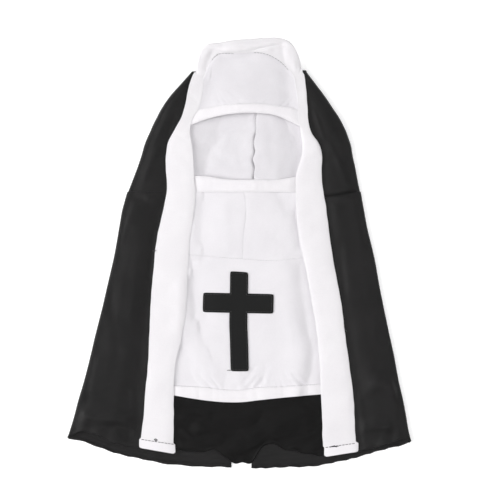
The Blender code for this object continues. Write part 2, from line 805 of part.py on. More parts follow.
def rolled_band_section(inner, outer, crease):
    """The band rolled over the crown: its top, the roll round the outline, and its underside."""
    width = math.hypot(outer[0] - inner[0], outer[1] - inner[1])
    along = ((outer[0] - inner[0]) / width, (outer[1] - inner[1]) / width)
    turn = width - ROLL_RADIUS - DOUBLED_BAND / 2
    section = []
    for column in range(BAND_TOP_COLUMNS):
        share = (0.0, crease / 2, crease, (1 + crease) / 2, 1.0)[column]
        dip = CREASE_DEPTH * ease(crease, *CREASE_STARTS)
        relief = (0.0, 0.0, -dip, ROLL_PUFF, 0.0)[column]
        x = inner[0] + along[0] * turn * share
        y = inner[1] + along[1] * turn * share
        section.append((x, y, band_height(x, y) + relief))
    low = DOUBLED_BAND / 2
    half_height = (section[-1][2] - low) / 2
    for column in range(1, BAND_ROLL_COLUMNS + 1):
        angle = math.pi * column / BAND_ROLL_COLUMNS
        reach = turn + ROLL_RADIUS * math.sin(angle)
        z = low + half_height * (1 + math.cos(angle))
        section.append((inner[0] + along[0] * reach, inner[1] + along[1] * reach, z))
    centre_x, centre_y = CROWN_SEAM_CENTRE
    radius_x, radius_y = (radius + CROWN_SEAM_GAP for radius in CROWN_SEAM_RADII)
    angle = math.atan2((outer[1] - centre_y) / radius_y, (outer[0] - centre_x) / radius_x)
    end = (centre_x + radius_x * math.cos(angle), centre_y + radius_y * math.sin(angle))
    start = section[-1]
    for column in range(1, BAND_UNDER_COLUMNS + 1):
        share = column / BAND_UNDER_COLUMNS
        x = start[0] + (end[0] - start[0]) * share
        y = start[1] + (end[1] - start[1]) * share
        section.append((x, y, low))
    return section


def band_leg(side):
    """The band's sections up one side, from its turned-up end to the crown."""
    columns = BAND_TOP_COLUMNS + BAND_ROLL_COLUMNS + BAND_UNDER_COLUMNS
    sign = SIDE_SIGN[side]
    sections = []
    end_y = SECTIONS["y"][0]
    for y in (end_y - TURNED_END_LENGTH,) + BAND_LEG_Y:
        widening = TURNED_END_WIDENING * (1 - ease(y, BAND_LEG_Y[0] - 1.0, BAND_LEG_Y[1]))
        inner_x = smooth(SECTIONS, "inner_" + side, y) - sign * widening
        outer_x = smooth(SECTIONS, "outer_" + side, y) + sign * widening
        slant = 1 - ease(y, end_y, BAND_LEG_Y[4])
        end_inner = smooth(FRONT_HEM, "y", inner_x, "x") - (end_y - TURNED_END_LENGTH)
        end_outer = smooth(FRONT_HEM, "y", outer_x, "x") - (end_y - TURNED_END_LENGTH)
        inner = (inner_x, y + slant * end_inner)
        outer = (outer_x, y + slant * end_outer)
        sections.append(flat_band_section(inner, outer, columns))
    return sections


def band():
    """The long white strip up one side, round the crown and down the other side."""
    columns = BAND_TOP_COLUMNS + BAND_ROLL_COLUMNS + BAND_UNDER_COLUMNS
    crown = []
    for station in range(len(CROWN["wrap"])):
        inner = (CROWN["inner_x"][station], CROWN["inner_y"][station])
        outer = (CROWN["outer_x"][station], CROWN["outer_y"][station])
        wrap = CROWN["wrap"][station]
        flat = np.array(flat_band_section(inner, outer, columns))
        rolled = np.array(rolled_band_section(inner, outer, CROWN["crease"][station]))
        crown.append(flat + (rolled - flat) * wrap)
    grid = band_leg("left") + crown + band_leg("right")[::-1]
    sheet("band", grid, WHITE_CLOTH, thickness=DOUBLED_BAND)


clear_scene()
garment = bpy.data.collections.new("pet_nun_costume")
bpy.context.scene.collection.children.link(garment)
garment_root = bpy.data.objects.new("pet_nun_costume", None)
garment.objects.link(garment_root)

for garment_side in ("left", "right"):
    veil(garment_side)
    cape(garment_side)
    coif(garment_side)
front_panel()
forehead()
forehead_binding()
chin_binding()
bib()
bib_hem()
cross()
band()
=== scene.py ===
"""The looks of a pet's nun costume laid flat: fine cloth on each solid, seams, stitches and light.

Lengths are in millimetres and are turned into metres when a mesh is made. The tables repeat the
garment's own sections, so each piece of cloth lies on its solid. A pair of numbers such as
UPPER_FOLD_Y says where a change starts and where it is full.
"""
import math

import bpy
import numpy as np
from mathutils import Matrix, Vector


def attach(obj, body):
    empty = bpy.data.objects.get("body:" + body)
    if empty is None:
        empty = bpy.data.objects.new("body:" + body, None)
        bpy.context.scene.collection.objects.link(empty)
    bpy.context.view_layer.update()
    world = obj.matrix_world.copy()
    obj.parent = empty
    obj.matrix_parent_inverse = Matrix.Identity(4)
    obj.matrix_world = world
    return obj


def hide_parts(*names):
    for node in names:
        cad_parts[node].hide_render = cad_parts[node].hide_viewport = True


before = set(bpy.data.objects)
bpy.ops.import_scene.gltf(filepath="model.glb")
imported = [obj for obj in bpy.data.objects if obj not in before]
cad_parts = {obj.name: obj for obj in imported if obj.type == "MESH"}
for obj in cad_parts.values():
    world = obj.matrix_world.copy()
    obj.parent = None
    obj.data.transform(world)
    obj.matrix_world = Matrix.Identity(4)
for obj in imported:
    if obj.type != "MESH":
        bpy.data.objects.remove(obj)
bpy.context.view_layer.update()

MILLIMETRE = 0.001
SIDE_SIGN = {"left": -1.0, "right": 1.0}

# Thickness of the solids' cloth and of the cloth that shows
SOLID_CLOTH = 1.0
BLACK_THICKNESS = 0.7
WHITE_THICKNESS = 0.6
CASING_THICKNESS = 1.5
TUCKED_THICKNESS = 0.6
BAND_THICKNESS = 0.9
BAND_EDGE_THICKNESS = 0.4
APPLIQUE_THICKNESS = 0.7

# The gap in a closed seam, and the step over a seam from one row to the next
CLOSED_SEAM = 0.05
SEAM_STEP = 1.5

# Heights of the middle of each layer above the floor
BACK_LEVEL = BLACK_THICKNESS / 2
INNER_LEVEL = 1.8
FRONT_LEVEL = 3.1

# The front's least height above its level, and how fast it falls from the middle to the sides
LEAST_LOFT = 0.2
LOFT_FALL = 0.8

# How far the pieces in front lie above the front layer or under it
BAND_RAISE = 1.05
BAND_EDGE_RAISE = 0.55
BAND_SWELL = 0.2
SEWN_EDGE_RAISE = 0.1
APPLIQUE_RAISE = 0.95
TUCKED_DROP = 0.6
CASING_OPENS = (-1.0, 7.0)

# Main seam lines across the garment
YOKE_Y = 56.85
CHIN_SEAM_Y = 56.4
RIGHT_YOKE_TILT = 5.3
YOKE_STEP = 0.7
YOKE_STEP_REACH = 7.0
COIF_BACK_Y = -4.0
PANEL_TOP_Y = -8.0
COIF_TOP_Y = 160.0
VEIL_TOP_Y = {"left": 168.2, "right": 169.2}

# Folds, tucks and overlaps
FOLD_TOP = 4.2
UPPER_FOLD_RISE = 2.4
UPPER_FOLD_Y = (70.0, 130.0)
WING_CREST = {"left": 1.5, "right": 0.9}
WING_VALLEY = {"left": 0.8, "right": 0.5}
WING_WIDE = (8.0, 33.0)
LEFT_VALLEY_Y = (75.0, 50.0)
FOLD_OUTSET = 0.15
TUCK_SHARE = 0.2
UNDER_BAND_DROP = 0.15
COIF_FOLD_SHARE = 0.45
COIF_LIP = 2.7
COIF_LIP_PLACE = 2.1
COIF_FOLD_DROP = 0.9
BIB_TUCK_SHARE = 0.35
BIB_HEM_TUCK = {"left": 9.0, "right": 10.0}
PANEL_TUCK = 2.0
PANEL_OVERLAP = 8.0
LEAST_CREASE = -0.3

# The stretch of the band that is sewn flat beside the forehead, and the band's edges
SEWN_BAND_Y = (106.0, 122.0)
SEWN_THINNING = 0.4
BAND_TRIM = {"left": 0.7, "right": 0.4}

# The crown, where the band rolls over to the underside
CROWN_SEAM_CENTRE = (7.5, 168.0)
CROWN_SEAM_RADII = (44.0, 17.0)
CROWN_SEAM_GAP = 0.8
VEIL_CROWN_SHARE = 0.985
ROLL_RADIUS = 2.8
TIGHT_ROLL_RADIUS = 1.5
ROLL_TOP_PLACE = 0.5
ROLL_END_PLACE = 0.8
CREASE_DEPTH = 1.3
CREASE_WIDTH = 0.13
LEG_CREASE = {"left": 0.1, "right": 0.9}
ROLL_LIP = 0.35
ROLL_LIP_SHARE = 0.3
ROLL_PUFF = 0.9
LEFT_CORNER_X = (-16.0, -28.0)
LEFT_CORNER_LIP = 0.6
LEFT_CORNER_REACH = 1.4
LEFT_CORNER_ROLL = 0.9

# The slit at the centre back, and the rolled hems
SLIT_TOP_Y = -165.0
SLIT_FULL_Y = -188.0
SLIT_WIDTH = 18.4
HEM_BEAD = 0.9
PANEL_BEAD = 0.5
HEM_BEAD_REACH = 1.7
HEM_BEAD_INSET = 0.8
HEM_WAVE = {"left": 0.4, "right": 0.5}
HEM_WAVE_LENGTH = {"left": 19.0, "right": 14.0}
HEM_WAVE_REACH = 22.0
HEM_WAVE_SHIFT = 40.0
HEM_LIFT = 1.1
HEM_STREAK = 0.4
HEM_STREAK_LENGTH = 4.5
HEM_STREAK_REACH = 14.0
PANEL_WAVE = 0.5
PANEL_WAVE_LENGTH = 15.0
PANEL_WAVE_REACH = 16.0
PANEL_LIFT = 0.6

# The black inner layer, which lies lower under the bib, and its open part between the band's legs
PANEL_SINK = 0.55
PANEL_SINK_Y = (-140.0, -126.0)
BIB_SINK_Y = (-134.0, -118.0)
PANEL_OPEN_Y = (-132.0, -144.0)
PANEL_OPEN_REACH = (20.0, 32.0)
PANEL_HEM_RISE = 0.65
PANEL_HEM_RISE_REACH = 5.5
PANEL_HEM_RISE_X = (62.0, 48.0)
PANEL_SLACK = 0.75

# The inside back of the hood: its bulge, its sides that rise to beside the band, and its valleys
LEFT_HALF_RISE = 2.6
RIGHT_HALF_STEP = 2.1
RIGHT_SLOPE = 0.05
RIGHT_SLOPE_REACH = 18.0
TOP_SINK = 2.0
TOP_SINK_Y = (100.0, 124.0)
SIDES_END = {"left": 1.5, "right": 4.0}
SIDE_RISE = {"left": 5.6, "right": 0.1}
VALLEY_DROP = 0.4
HOLLOW_LOW_Y = (40.0, 64.0)
HOLLOW_TOP_Y = (154.0, 130.0)
INSIDE_CLEARANCE = 0.05
LAYER_ROOM = 1.05

# Elastic gathers, and how the gathered pieces sag
GATHER_LENGTH = 9.0
GATHER_REACH = 9.0
CASING_PUCKER = 0.14
BIB_HEM_PUCKER = 0.26
SEWN_LINES = (0.86, 0.12)
SEWN_LINE_REACH = 0.07
FOREHEAD_GATHER = 0.28
FOREHEAD_SINK = 0.5
FOREHEAD_SEWN_DROP = 0.55
NECK_SINK = 0.4
NECK_SINK_Y = ((-2.0, 12.0), (56.0, 42.0))
BIB_GATHER = 0.75
BIB_SAG = 1.2
BIB_SAG_REACH = 8.0
BIB_CLEARANCE = 0.75
BIB_HEM_FALL_X = (40.0, 52.0)
SOFT_BEND = 0.22
FOLD_ROOM = 3.0
FOLD_ROOM_REACH = 6.0

# Seams and edges: a rounding of 1 is a folded edge, and a low one is sewn flat and looks crisp
SEAM_GROOVE = {"left": 0.2, "right": 1.2}
FLAT_SEAM_GROOVE = 0.14
SEAM_GROOVE_REACH = 1.5
BACK_SEAM_DEPTH = 1.6
BACK_SEAM_WAVE = 0.8
BACK_SEAM_REACH = 1.1
BACK_SEAM_PUCKER_Y = (118.0, 106.0)
FLAT_ROUNDING = 0.12
FREE_ROUNDING = 0.4
BAND_ROUNDING = 0.25
BLACK_SEAM_ROUNDING = 0.3
CRISP_ROUNDING = 0.35
EDGE_TURNS = (50, 0, -50)

# Gentle waves of each layer: a number that makes them its own, their length and their height
WAVE_COUNT = 7
WAVES = {
    "cape": (4.0, 26.0, 0.16),
    "coif": (6.0, 22.0, 0.12),
    "coif_back": (8.0, 20.0, 0.14),
    "panel": (9.0, 24.0, 0.25),
    "forehead": (3.0, 24.0, 0.14),
    "bib": (5.0, 26.0, 0.15),
    "band": (7.0, 34.0, 0.17),
    "band_edge": (13.0, 15.0, 0.16),
    "crown": (11.0, 17.0, 0.3),
}

# The band's turned-up ends
TURNED_END_LENGTH = 9.0
TURNED_END_WIDENING = {"left": 1.5, "right": 0.6}
TURNED_END_SHIFT = {"left": 0.1, "right": 1.8}
TURNED_END_EXTRA = 0.7
TURNED_END_RAISE = 0.25
TURNED_END_SLOPE = 0.8
END_SEAM_DEPTH = 0.35
END_SEAM_REACH = 0.9
END_SEAM_INSET = 0.6
END_STITCH_INSET = 0.9
END_CORNER = 2.2

# The cross on the bib
CROSS_MIDDLE_X = -0.65
CROSS_TOP_Y = -17.3
CROSS_HEIGHT = 92.5
UPRIGHT_WIDTH = 16.8
BAR_LENGTH = 65.6
BAR_HEIGHT = 18.25
BAR_DROP = 20.1
BAR_SLOPE = -0.021
BAR_SHIFT = -0.45
BAR_SHIFT_REACH = 3.0
TOP_SLOPE = -0.06
TOP_SLOPE_REACH = 8.0
CROSS_CORNER = 0.5
CROSS_CORNER_REACH = 1.5

# Grids of cloth: steps on the back, round the outer fold and over the front. The inner hood has
# closer columns beside its back seam
CAPE_STEPS = (33, 10, 46)
VEIL_STEPS = (21, 10, 40)
COIF_STEPS = (45, 9, 1)
BESIDE_BACK_SEAM = (0.0, 0.006, 0.012)

# Rows from the seam to the hem: steps up to each share of the length
CAPE_ROWS = ((0.93, 99), (1, 19))
PANEL_ROWS = ((0.62, 15), (0.96, 49), (1, 11))

# Steps over the parts of the cross, from left to right and from its top down
CROSS_COLUMNS = (16, 12, 16)
CROSS_ROWS = (14, 12, 36)

# Columns and rows of the other pieces. The band's rows are closer at its ends
GRIDS = {"casing": (90, 12), "forehead": (96, 40), "bib": (110, 84), "bib_hem": (120, 12)}
BAND_COLUMNS = 40
BAND_ROW_STEP = 1.6
BAND_END_ROW_STEP = 0.7
BAND_END_ROWS_LENGTH = 14.0
PANEL_COLUMNS = 120
VEIL_ROWS = 74
VEIL_CROWN_ROWS = 14
COIF_NECK_COLUMNS = 34
COIF_NECK_ROWS = 38
COIF_HEAD_ROWS = 62

# A sheet's x and y depend on each other, so they are worked out in rounds
SETTLING_ROUNDS = 4
BIB_START_Y = -60.0

# Stitches: their length, the step from one to the next, and the radius of the thread. Those of the
# crown show along two spans of its seam
CASING_STITCH = (2.2, 3.0, 0.13)
CROSS_STITCH = (2.4, 2.9, 0.16)
CROWN_STITCH = (2.3, 2.9, 0.12)
END_STITCH = (2.7, 3.1, 0.27)
STITCH_POINTS = 6
CROWN_STITCH_SPANS = {"left": (0.16, 0.4), "right": (0.56, 0.93)}
THREAD_SIDES = 6
THREAD_TAPER = 0.45
KNOT_RADIUS = 0.42
LOOSE_END_RADIUS = 0.28
LOOSE_END_RAISE = 0.25

# Thread ends and tufts, each a route of x and y
LOOSE_ENDS = {
    "knot_left": [(-79.4, -173.4), (-77.8, -172.4), (-76.2, -173.6), (-77.6, -174.4), (-79.0, -173.2)],
    "knot_right": [
        (83.6, -180.3), (86.5, -179.3), (90.5, -180.0), (88.0, -178.9), (84.8, -179.9), (92.6, -179.2),
    ],
    "end_right": [(90.2, -181.0), (90.1, -183.4), (90.4, -186.0)],
    "nick_left": [(-77.4, 2.6), (-78.8, 1.4), (-80.6, 2.4)],
    "nick_right": [(97.2, -68.6), (98.0, -71.2), (99.4, -72.6)],
    "cross_end": [(-8.2, -108.9), (-10.0, -108.7), (-11.6, -108.9)],
}

# How far light spreads inside the thin white cloth
LIGHT_SPREAD = 2.5

# The picture: its lights by name, with their place in metres, size and power
PICTURE_WIDTH = 465.0
PICTURE_MIDDLE = (9.7, 2.8)
CAMERA_HEIGHT = 2400.0
SENSOR_WIDTH = 36.0
FLOOR_SIZE = 6.0
FLOOR_GLOW = 0.18
ROOM_LIGHT = 0.245
PURE_WHITE = (1.0, 1.0, 1.0, 1.0)
LIGHTS = (
    ("left_softbox", (-2.9, 0.0, 1.9), 2.0, 103.0),
    ("right_softbox", (2.9, 0.0, 1.9), 2.0, 33.0),
    ("overhead", (-0.1, 0.1, 3.2), 1.3, 42.0),
)


def table(names, rows):
    """Turns the rows of a table into one array for each named column. The first is its station."""
    return dict(zip(names.split(), np.array(rows, dtype=float).T))


# The slight bend of the cross's upright, by the drop from its top
CROSS_BEND = table("drop shift", [
    (0, 0.25), (12, 0.2), (42, -0.42), (52, -0.42), (62, 0), (79, 0.47), (93, 0.85),
])

# One row for each section across the garment, from the hem to the crown
SECTIONS = table("y fold_left outer_left inner_left inner_right outer_right fold_right", [
    (-174, -160.6, -92.5, -61.3, 77.4, 108.4, 159.2),
    (-164, -157.4, -91.1, -61.2, 77, 107.8, 156.9),
    (-152, -153.8, -89.8, -61.1, 76.7, 107.3, 154.9),
    (-137, -149.9, -88.8, -61, 76.1, 106.2, 152.1),
    (-122, -145.4, -87.6, -61.2, 75, 105.1, 148.6),
    (-92, -137.7, -84.8, -57.6, 73.8, 100.3, 142.9),
    (-82, -135.4, -84.5, -55, 72.6, 99.1, 140.7),
    (-62, -130.4, -84.3, -50.8, 70.2, 97.1, 136.4),
    (-48, -126.9, -83.4, -49.4, 67.7, 95.2, 133.5),
    (-33, -123.5, -81.7, -48.9, 65.1, 92, 130.5),
    (-3, -116.6, -79.6, -47.4, 59.3, 87, 125),
    (27, -111.3, -74.9, -44.6, 53.8, 82.3, 117.9),
    (40, -109, -71.6, -42.4, 52.6, 81, 115.6),
    (48, -106.7, -69.6, -41.2, 52.2, 79.5, 114),
    (57, -103.4, -68.2, -40.8, 52, 78.2, 111.9),
    (68, -99.2, -68.2, -41.9, 52.1, 76.8, 109.6),
    (79, -95, -69.2, -42.6, 54.2, 76.6, 107.6),
    (90, -91.3, -69, -43, 57.4, 76.9, 105.2),
    (101, -88.1, -67.4, -44.2, 58.2, 74.1, 103.2),
    (107, -85.7, -65, -45.2, 57.6, 69.9, 101.1),
    (112, -83.3, -62.3, -45.9, 56.6, 66.9, 99.4),
    (118, -80.8, -58.8, -46, 55.5, 65.2, 96.6),
    (124, -77.8, -55.5, -44, 54.7, 64, 93.5),
    (135, -71.9, -51.6, -37.6, 54.2, 63.5, 86.3),
    (146, -64.2, -49.5, -34.8, 53.5, 62.5, 78.9),
    (157, -54.4, -46.9, -33.4, 51.6, 61.6, 70.6),
    (168, -44.6, -42.9, -31.6, 47.2, 59.2, 62.2),
])

# How far the front stands up from the inner layer at the middle of each section
LOFT = table("y height", [
    (-195, 0.3), (-135, 0.7), (-60, 1.4), (-4, 1.8), (30, 2.6), (57, 4.2),
    (70, 5), (100, 6.5), (125, 8), (140, 8.2), (165, 7.2), (200, 5.6),
])

# The seams down the middle: the black centre back, the white centre back and the white centre front
MIDDLE_SEAMS = table("y black_back white_back white_front", [
    (-200, 1.7, 14, 2.4),
    (-4, 4.6, 14, 2.5),
    (20, 4.9, 14.2, 3.8),
    (40, 5.2, 14.6, 6),
    (57, 5.5, 15, 4.2),
    (86, 5.9, 13.2, 4.2),
    (102, 6.2, 14.2, 4.2),
    (130, 6.6, 15.6, 4.2),
    (188, 7.4, 15, 4.2),
])

BACK_HEM = table("x y", [
    (-160.6, -172.2), (-147, -174.7), (-133.8, -179.1), (-112, -186.3), (-85.6, -191.9), (-65.8, -195.8),
    (-41.9, -197.9), (-30, -198.8), (-7.9, -198.9), (13, -200.2), (25, -199.8), (40, -199.1),
    (67.5, -198.1), (88.2, -194.2), (103, -191.3), (118.7, -186.7), (134, -182.6), (150.2, -178.8),
    (159.5, -176),
])

# The hem of the front layer, which the ends of the band also follow
FRONT_HEM = table("x y", [
    (-159.8, -171), (-149, -166), (-136, -168), (-111, -178), (-94, -180.9), (-62, -186.2),
    (79, -188.9), (111, -184.2), (127, -180.3), (143, -175.2), (152, -172.8), (159.5, -173.6),
])

PANEL_HEM = table("x y", [
    (-95, -181), (-55.4, -183.2), (-35.3, -185.1), (-24.2, -183.2), (-13, -189.5), (-7.4, -194.6),
    (2, -195), (11.5, -194.6), (22.7, -178.8), (29.2, -177.3), (42.8, -182.8), (56.2, -185.1),
    (73.8, -188.5), (110, -186),
])

# Edges of the white pieces, from left to right
WHITE_EDGES = table("x neck_seam bib_casing bib_end chin_top brow_low brow_top", [
    (-90, -1, -122, -131, 71.5, 106, 124),
    (-62, -1, -123, -132.2, 71.5, 112.5, 128),
    (-46, -1.6, -124, -134.8, 71.5, 118.4, 131),
    (-30, -3, -124.9, -137.1, 71.1, 124.1, 134.8),
    (-14, -4.3, -126.9, -138.5, 68.6, 127.9, 137.5),
    (2, -5.3, -127.1, -138.5, 67.9, 129.6, 138.5),
    (18, -6.6, -124.7, -136.7, 68.3, 129.5, 138.6),
    (34, -7, -124.2, -135, 67.9, 127.3, 136.9),
    (50, -5.2, -123.2, -133.4, 70.4, 120.5, 134),
    (66, -3.7, -122.2, -132, 71.5, 112, 130),
    (100, -3, -121, -130, 71.5, 100, 124),
])

# The band round the crown, from left to right: its inner seam, the outline, the share of the roll
# that is wrapped under, and how far across the band the roll's lower crease lies
CROWN = table("inner_x inner_y outer_x outer_y wrap crease", [
    (-32.7, 163, -43, 167.5, 0, 0.1),
    (-31.6, 167, -41.6, 171.3, 0.35, 0.1),
    (-29.6, 172.2, -39.3, 176.8, 0.8, 0.1),
    (-27, 177.3, -37.3, 182.4, 1, 0.1),
    (-23.7, 181.6, -34.9, 187.4, 1, 0.1),
    (-20, 184.3, -30.6, 191.9, 1, 0.1),
    (-14, 185.1, -20, 194.9, 1, 0.1),
    (-6, 184.9, -9, 197.2, 1, 0.1),
    (3, 185.1, 3.5, 198.4, 1, 0.15),
    (12, 185.9, 15, 199.2, 1, 0.22),
    (20, 185.6, 26, 199.9, 1, 0.4),
    (27, 183.8, 35.5, 199.9, 1, 0.65),
    (33, 181, 43, 198.2, 1, 0.8),
    (38.5, 177.2, 49, 194, 1, 0.9),
    (43, 172.9, 53.5, 186.6, 1, 0.9),
    (46.5, 168.6, 56.3, 178.5, 0.8, 0.9),
    (49, 165.6, 57.9, 173.8, 0.35, 0.9),
    (50.4, 163, 59, 170.6, 0, 0.9),
])

# Heights at which the band's legs follow SECTIONS
BAND_LEG_Y = (
    -172, -164, -150, -130, -105, -75, -45, -15, 15, 40,
    57, 68, 79, 90, 101, 112, 124, 135, 146, 157,
)

# The largest soft folds, each a ridge or a trough along a line: its start x and y, its end x and y,
# its width, where it needs one a second width to the right of it, and its height
FRONT_FOLDS = [
    (-26, 184, -6, 190, 10, 1.8),
    (-8, 188, 22, 190, 8, 0.8),
    (-54, -28, -55, -70, 7.5, 1.2),
    (12, 112, 12, 60, 7, 0.3),
]
PANEL_FOLDS = [
    (-14, -184, 10, -172.5, 7.5, 3),
    (10, -172.5, 28, -164, 8.5, 3.3),
    (28, -164, 60, -150, 10, 3.3),
    (-36, -162, 10, -152, 7.5, 2.6),
    (-66, -151, -30, -152, 6, 2),
    (-52, -177, -20, -174, 6.5, 2.2),
    (44, -187, 74, -180, 4.5, 1.8),
]
PANEL_WRINKLES = [
    (34, -172, 70, -160, 2.2, 0.6),
    (40, -178, 72, -168, 2, 0.6),
    (-58, -140, 60, -139, 3, -0.6),
    (-60, -160, -46, -170, 2.5, 0.6),
    (-30, -185, -14, -181, 2, 0.5),
    (0, -186, 20, -176, 2.2, 0.6),
]
WING_FOLDS = [
    (-86, 52, -74, 54, 3, 0.9),
    (-92, 20, -100, -60, 6, 0.8),
    (-104, -90, -116, -150, 7, 0.8),
    (-62, 140, -74, 112, 4, 0.5),
    (90, 40, 104, -30, 6, 0.8),
    (112, -70, 126, -150, 7, 0.9),
    (72, 140, 84, 112, 4, 0.5),
    (100, 62, 92, 84, 4, 0.6),
    (-146, -152, -106, -154, 7, 2.8),
    (-140, -134, -104, -132, 6, -1),
    (128, -121, 148, -128, 8, 3.2),
    (118, -160, 136, -161, 5.5, 2.2),
]

# Smaller creases that only show in the cloth itself
WING_CREASES = [
    (-100, 53, -88, 50, 1.6, -0.5),
    (-84, 50, -72, 47, 1.5, 0.6),
    (-98, 44, -110, 10, 3, 0.4),
    (-80, 20, -84, -22, 2.5, -0.4),
    (-120, -40, -112, -92, 4, -0.4),
    (-132, -100, -140, -150, 5, 0.5),
    (-100, -128, -98, -168, 3, 0.5),
    (-76, 96, -88, 70, 3, 0.5),
    (-60, 128, -66, 110, 2, -0.4),
    (108, 52, 92, 49, 1.6, 0.5),
    (106, 44, 114, 4, 3, 0.4),
    (94, 10, 98, -40, 3, -0.4),
    (128, -50, 122, -104, 4, 0.4),
    (140, -110, 146, -154, 5, 0.5),
    (112, -136, 116, -174, 3, 0.5),
    (84, 100, 98, 74, 3, 0.5),
    (70, 130, 78, 108, 2, 0.4),
]
INNER_CREASES = [
    (-10, 118, -16, 96, 4, 0.5),
    (-2, 128, 6, 118, 4, -0.7),
    (0, 104, 2, 80, 4, -0.4),
    (22, 118, 24, 84, 5, 0.4),
    (-24, 84, -10, 76, 4, 0.4),
]

# Across the hood's inside back: its left valley, the bulge between, and its right valley
HOOD_HOLLOW = table("y left_valley left_top right_top right_valley", [
    (50, -36, -31, 31, 53),
    (70, -34, -29, 31, 53),
    (82, -32.5, -27, 31, 54),
    (96, -27, -21, 31, 55),
    (110, -16, -9, 31, 54),
    (124, -8, 0, 30, 53),
    (140, -8, 0, 30, 52),
])
WHITE_CREASES = [
    (-34, 46, -35, 12, 6, 14, -1.5),
    (36, 56, 46, 38, 5, 8, -0.9),
    (54, 38, 57, 8, 5, 5, -1.8),
    (-14, 40, -10, 8, 5, 5, 0.3),
    (-44, -8, -30, -5, 3, 3, -0.5),
    (-43.5, -26, -39.5, -58, 5, 14, -1.9),
    (-38, -60, -31, -84, 6, 14, -1),
    (-54, -92, -51.5, -124, 6, 12, -2.2),
    (-36, -108, -38, -124, 3, 3, -0.3),
    (-24, -106, -20, -124, 3, 3, 0.3),
    (-12, -112, -14, -124, 2.6, 2.6, -0.3),
    (4, -122, 14, -106, 2.4, 2.4, -0.5),
    (-2, -110, 2, -122, 3, 3, 0.3),
    (24, -106, 20, -124, 3, 3, -0.4),
    (44, -16, 48, -60, 16, 12, 1.2),
    (62, -14, 70, -72, 13, 8, -3.2),
    (62, -80, 52, -132, 16, 8.5, 2.1),
    (73, -74, 73, -136, 12, 8, -2.8),
    (26, -60, 28, -100, 9, 9, 0.3),
    (-33, 128, -28, 158, 5, 9, -1.6),
    (50, 128, 46, 164, 9, 14, -2.6),
    (-29, 172, -24, 182, 4, 13, 1.6),
    (-14, 184, 8, 184, 7, 7, -1.4),
    (6, 172, 8, 146, 9, 9, 0.3),
]
CROWN_FOLDS = [
    (39.5, 196, 41, 176, 2.6, -0.7),
    (50, 192, 53, 174, 4, 0.5),
    (-26, 184, -31, 172, 2.6, -0.6),
]
BAND_CREASES = [
    (-74, 40, -52, 36, 4, -0.35),
    (-82, -40, -56, -48, 5, 0.3),
    (-86, -96, -62, -100, 5, -0.3),
    (-66, 92, -50, 80, 4, 0.35),
    (-64, 112, -48, 104, 3, -0.35),
    (58, 88, 74, 98, 4, 0.35),
    (56, 106, 66, 112, 2.5, -0.3),
    (56, 34, 80, 40, 4, -0.35),
    (62, -20, 88, -14, 5, 0.3),
    (74, -84, 98, -78, 4, -0.35),
    (76, -140, 104, -134, 5, 0.3),
    (-50, 150, -40, 140, 3, -0.3),
]


def smooth(source, name, at):
    """Reads a table's column at any places of its first one, as a smooth curve through its rows."""
    places = next(iter(source.values()))
    values = source[name]
    at = np.clip(at, places[0], places[-1])
    low = np.clip(np.searchsorted(places, at) - 1, 0, len(places) - 2)
    step = places[low + 1] - places[low]
    t = (at - places[low]) / step
    slope = np.gradient(values, places)
    start = (1 + 2 * t) * (1 - t) ** 2 * values[low] + t * (1 - t) ** 2 * step * slope[low]
    end = t ** 2 * (3 - 2 * t) * values[low + 1] - t ** 2 * (1 - t) * step * slope[low + 1]
    return start + end


def section_x(line, y):
    """Where one of the lines in SECTIONS lies."""
    return smooth(SECTIONS, line, y)


def white_edge(name, x):
    """The height up the garment of one of the lines in WHITE_EDGES."""
    return smooth(WHITE_EDGES, name, x)


def blend(start, end, share):
    """Goes from start at a share of 0 to end at a share of 1."""
    return start + (end - start) * share


def ease(value, start, end):
    """Rises softly from 0 at start to 1 at end."""
    t = np.clip((value - start) / (end - start), 0.0, 1.0)
    return t * t * (3 - 2 * t)


def softly_above(floor, height):
    """Keeps a height above a floor, with a soft bend where it meets it."""
    return floor + SOFT_BEND * np.log1p(np.exp((height - floor) / SOFT_BEND))


def near(distance, reach):
    """1 where the distance is nothing, falling to 0 beyond the reach."""
    return np.exp(-(distance / reach) ** 2)


def spaced(start, *runs):
    """Values from start on. Each run is the value where it ends and its number of even steps."""
    values = [np.array([start])]
    for end, steps in runs:
        values.append(np.linspace(values[-1][-1], end, steps + 1)[1:])
    return np.concatenate(values)


def shares(columns, rows):
    """Even shares of a piece's width, as a row, and of its length, as a column."""
    return np.linspace(0, 1, columns)[None, :], np.linspace(0, 1, rows)[:, None]


def folds_height(folds, x, y, combine=np.add):
    """How far the folds of one layer lift the cloth: each is a soft ridge that fades from its line.

    A fold may fade faster on one side of its line than on the other.
    """
    total = np.zeros(np.broadcast(x, y).shape)
    for start_x, start_y, end_x, end_y, *widths, height in folds:
        along_x = end_x - start_x
        along_y = end_y - start_y
        away_x = x - start_x
        away_y = y - start_y
        share = np.clip((away_x * along_x + away_y * along_y) / (along_x ** 2 + along_y ** 2), 0.0, 1.0)
        distance = np.hypot(away_x - share * along_x, away_y - share * along_y)
        is_right = (away_x * along_y - away_y * along_x) * np.sign(along_y) > 0
        total = combine(total, height * near(distance, np.where(is_right, widths[-1], widths[0])))
    return total


def unevenness(x, y, layer, shift=0.0):
    """Gentle waves in several directions, as cloth never lies quite flat.

    The odd factors keep the waves from lining up.
    """
    seed, length, height = WAVES[layer]
    seed = seed + shift
    total = np.zeros(np.broadcast(x, y).shape)
    for wave in range(WAVE_COUNT):
        angle = seed * 1.7 + wave * 2.4
        wave_length = length * (0.55 + 0.17 * wave)
        phase = seed * 3.1 + wave * wave * 1.3
        along = x * math.cos(angle) + y * math.sin(angle)
        total = total + np.sin(2 * math.pi * along / wave_length + phase)
    return height * total / 3.0


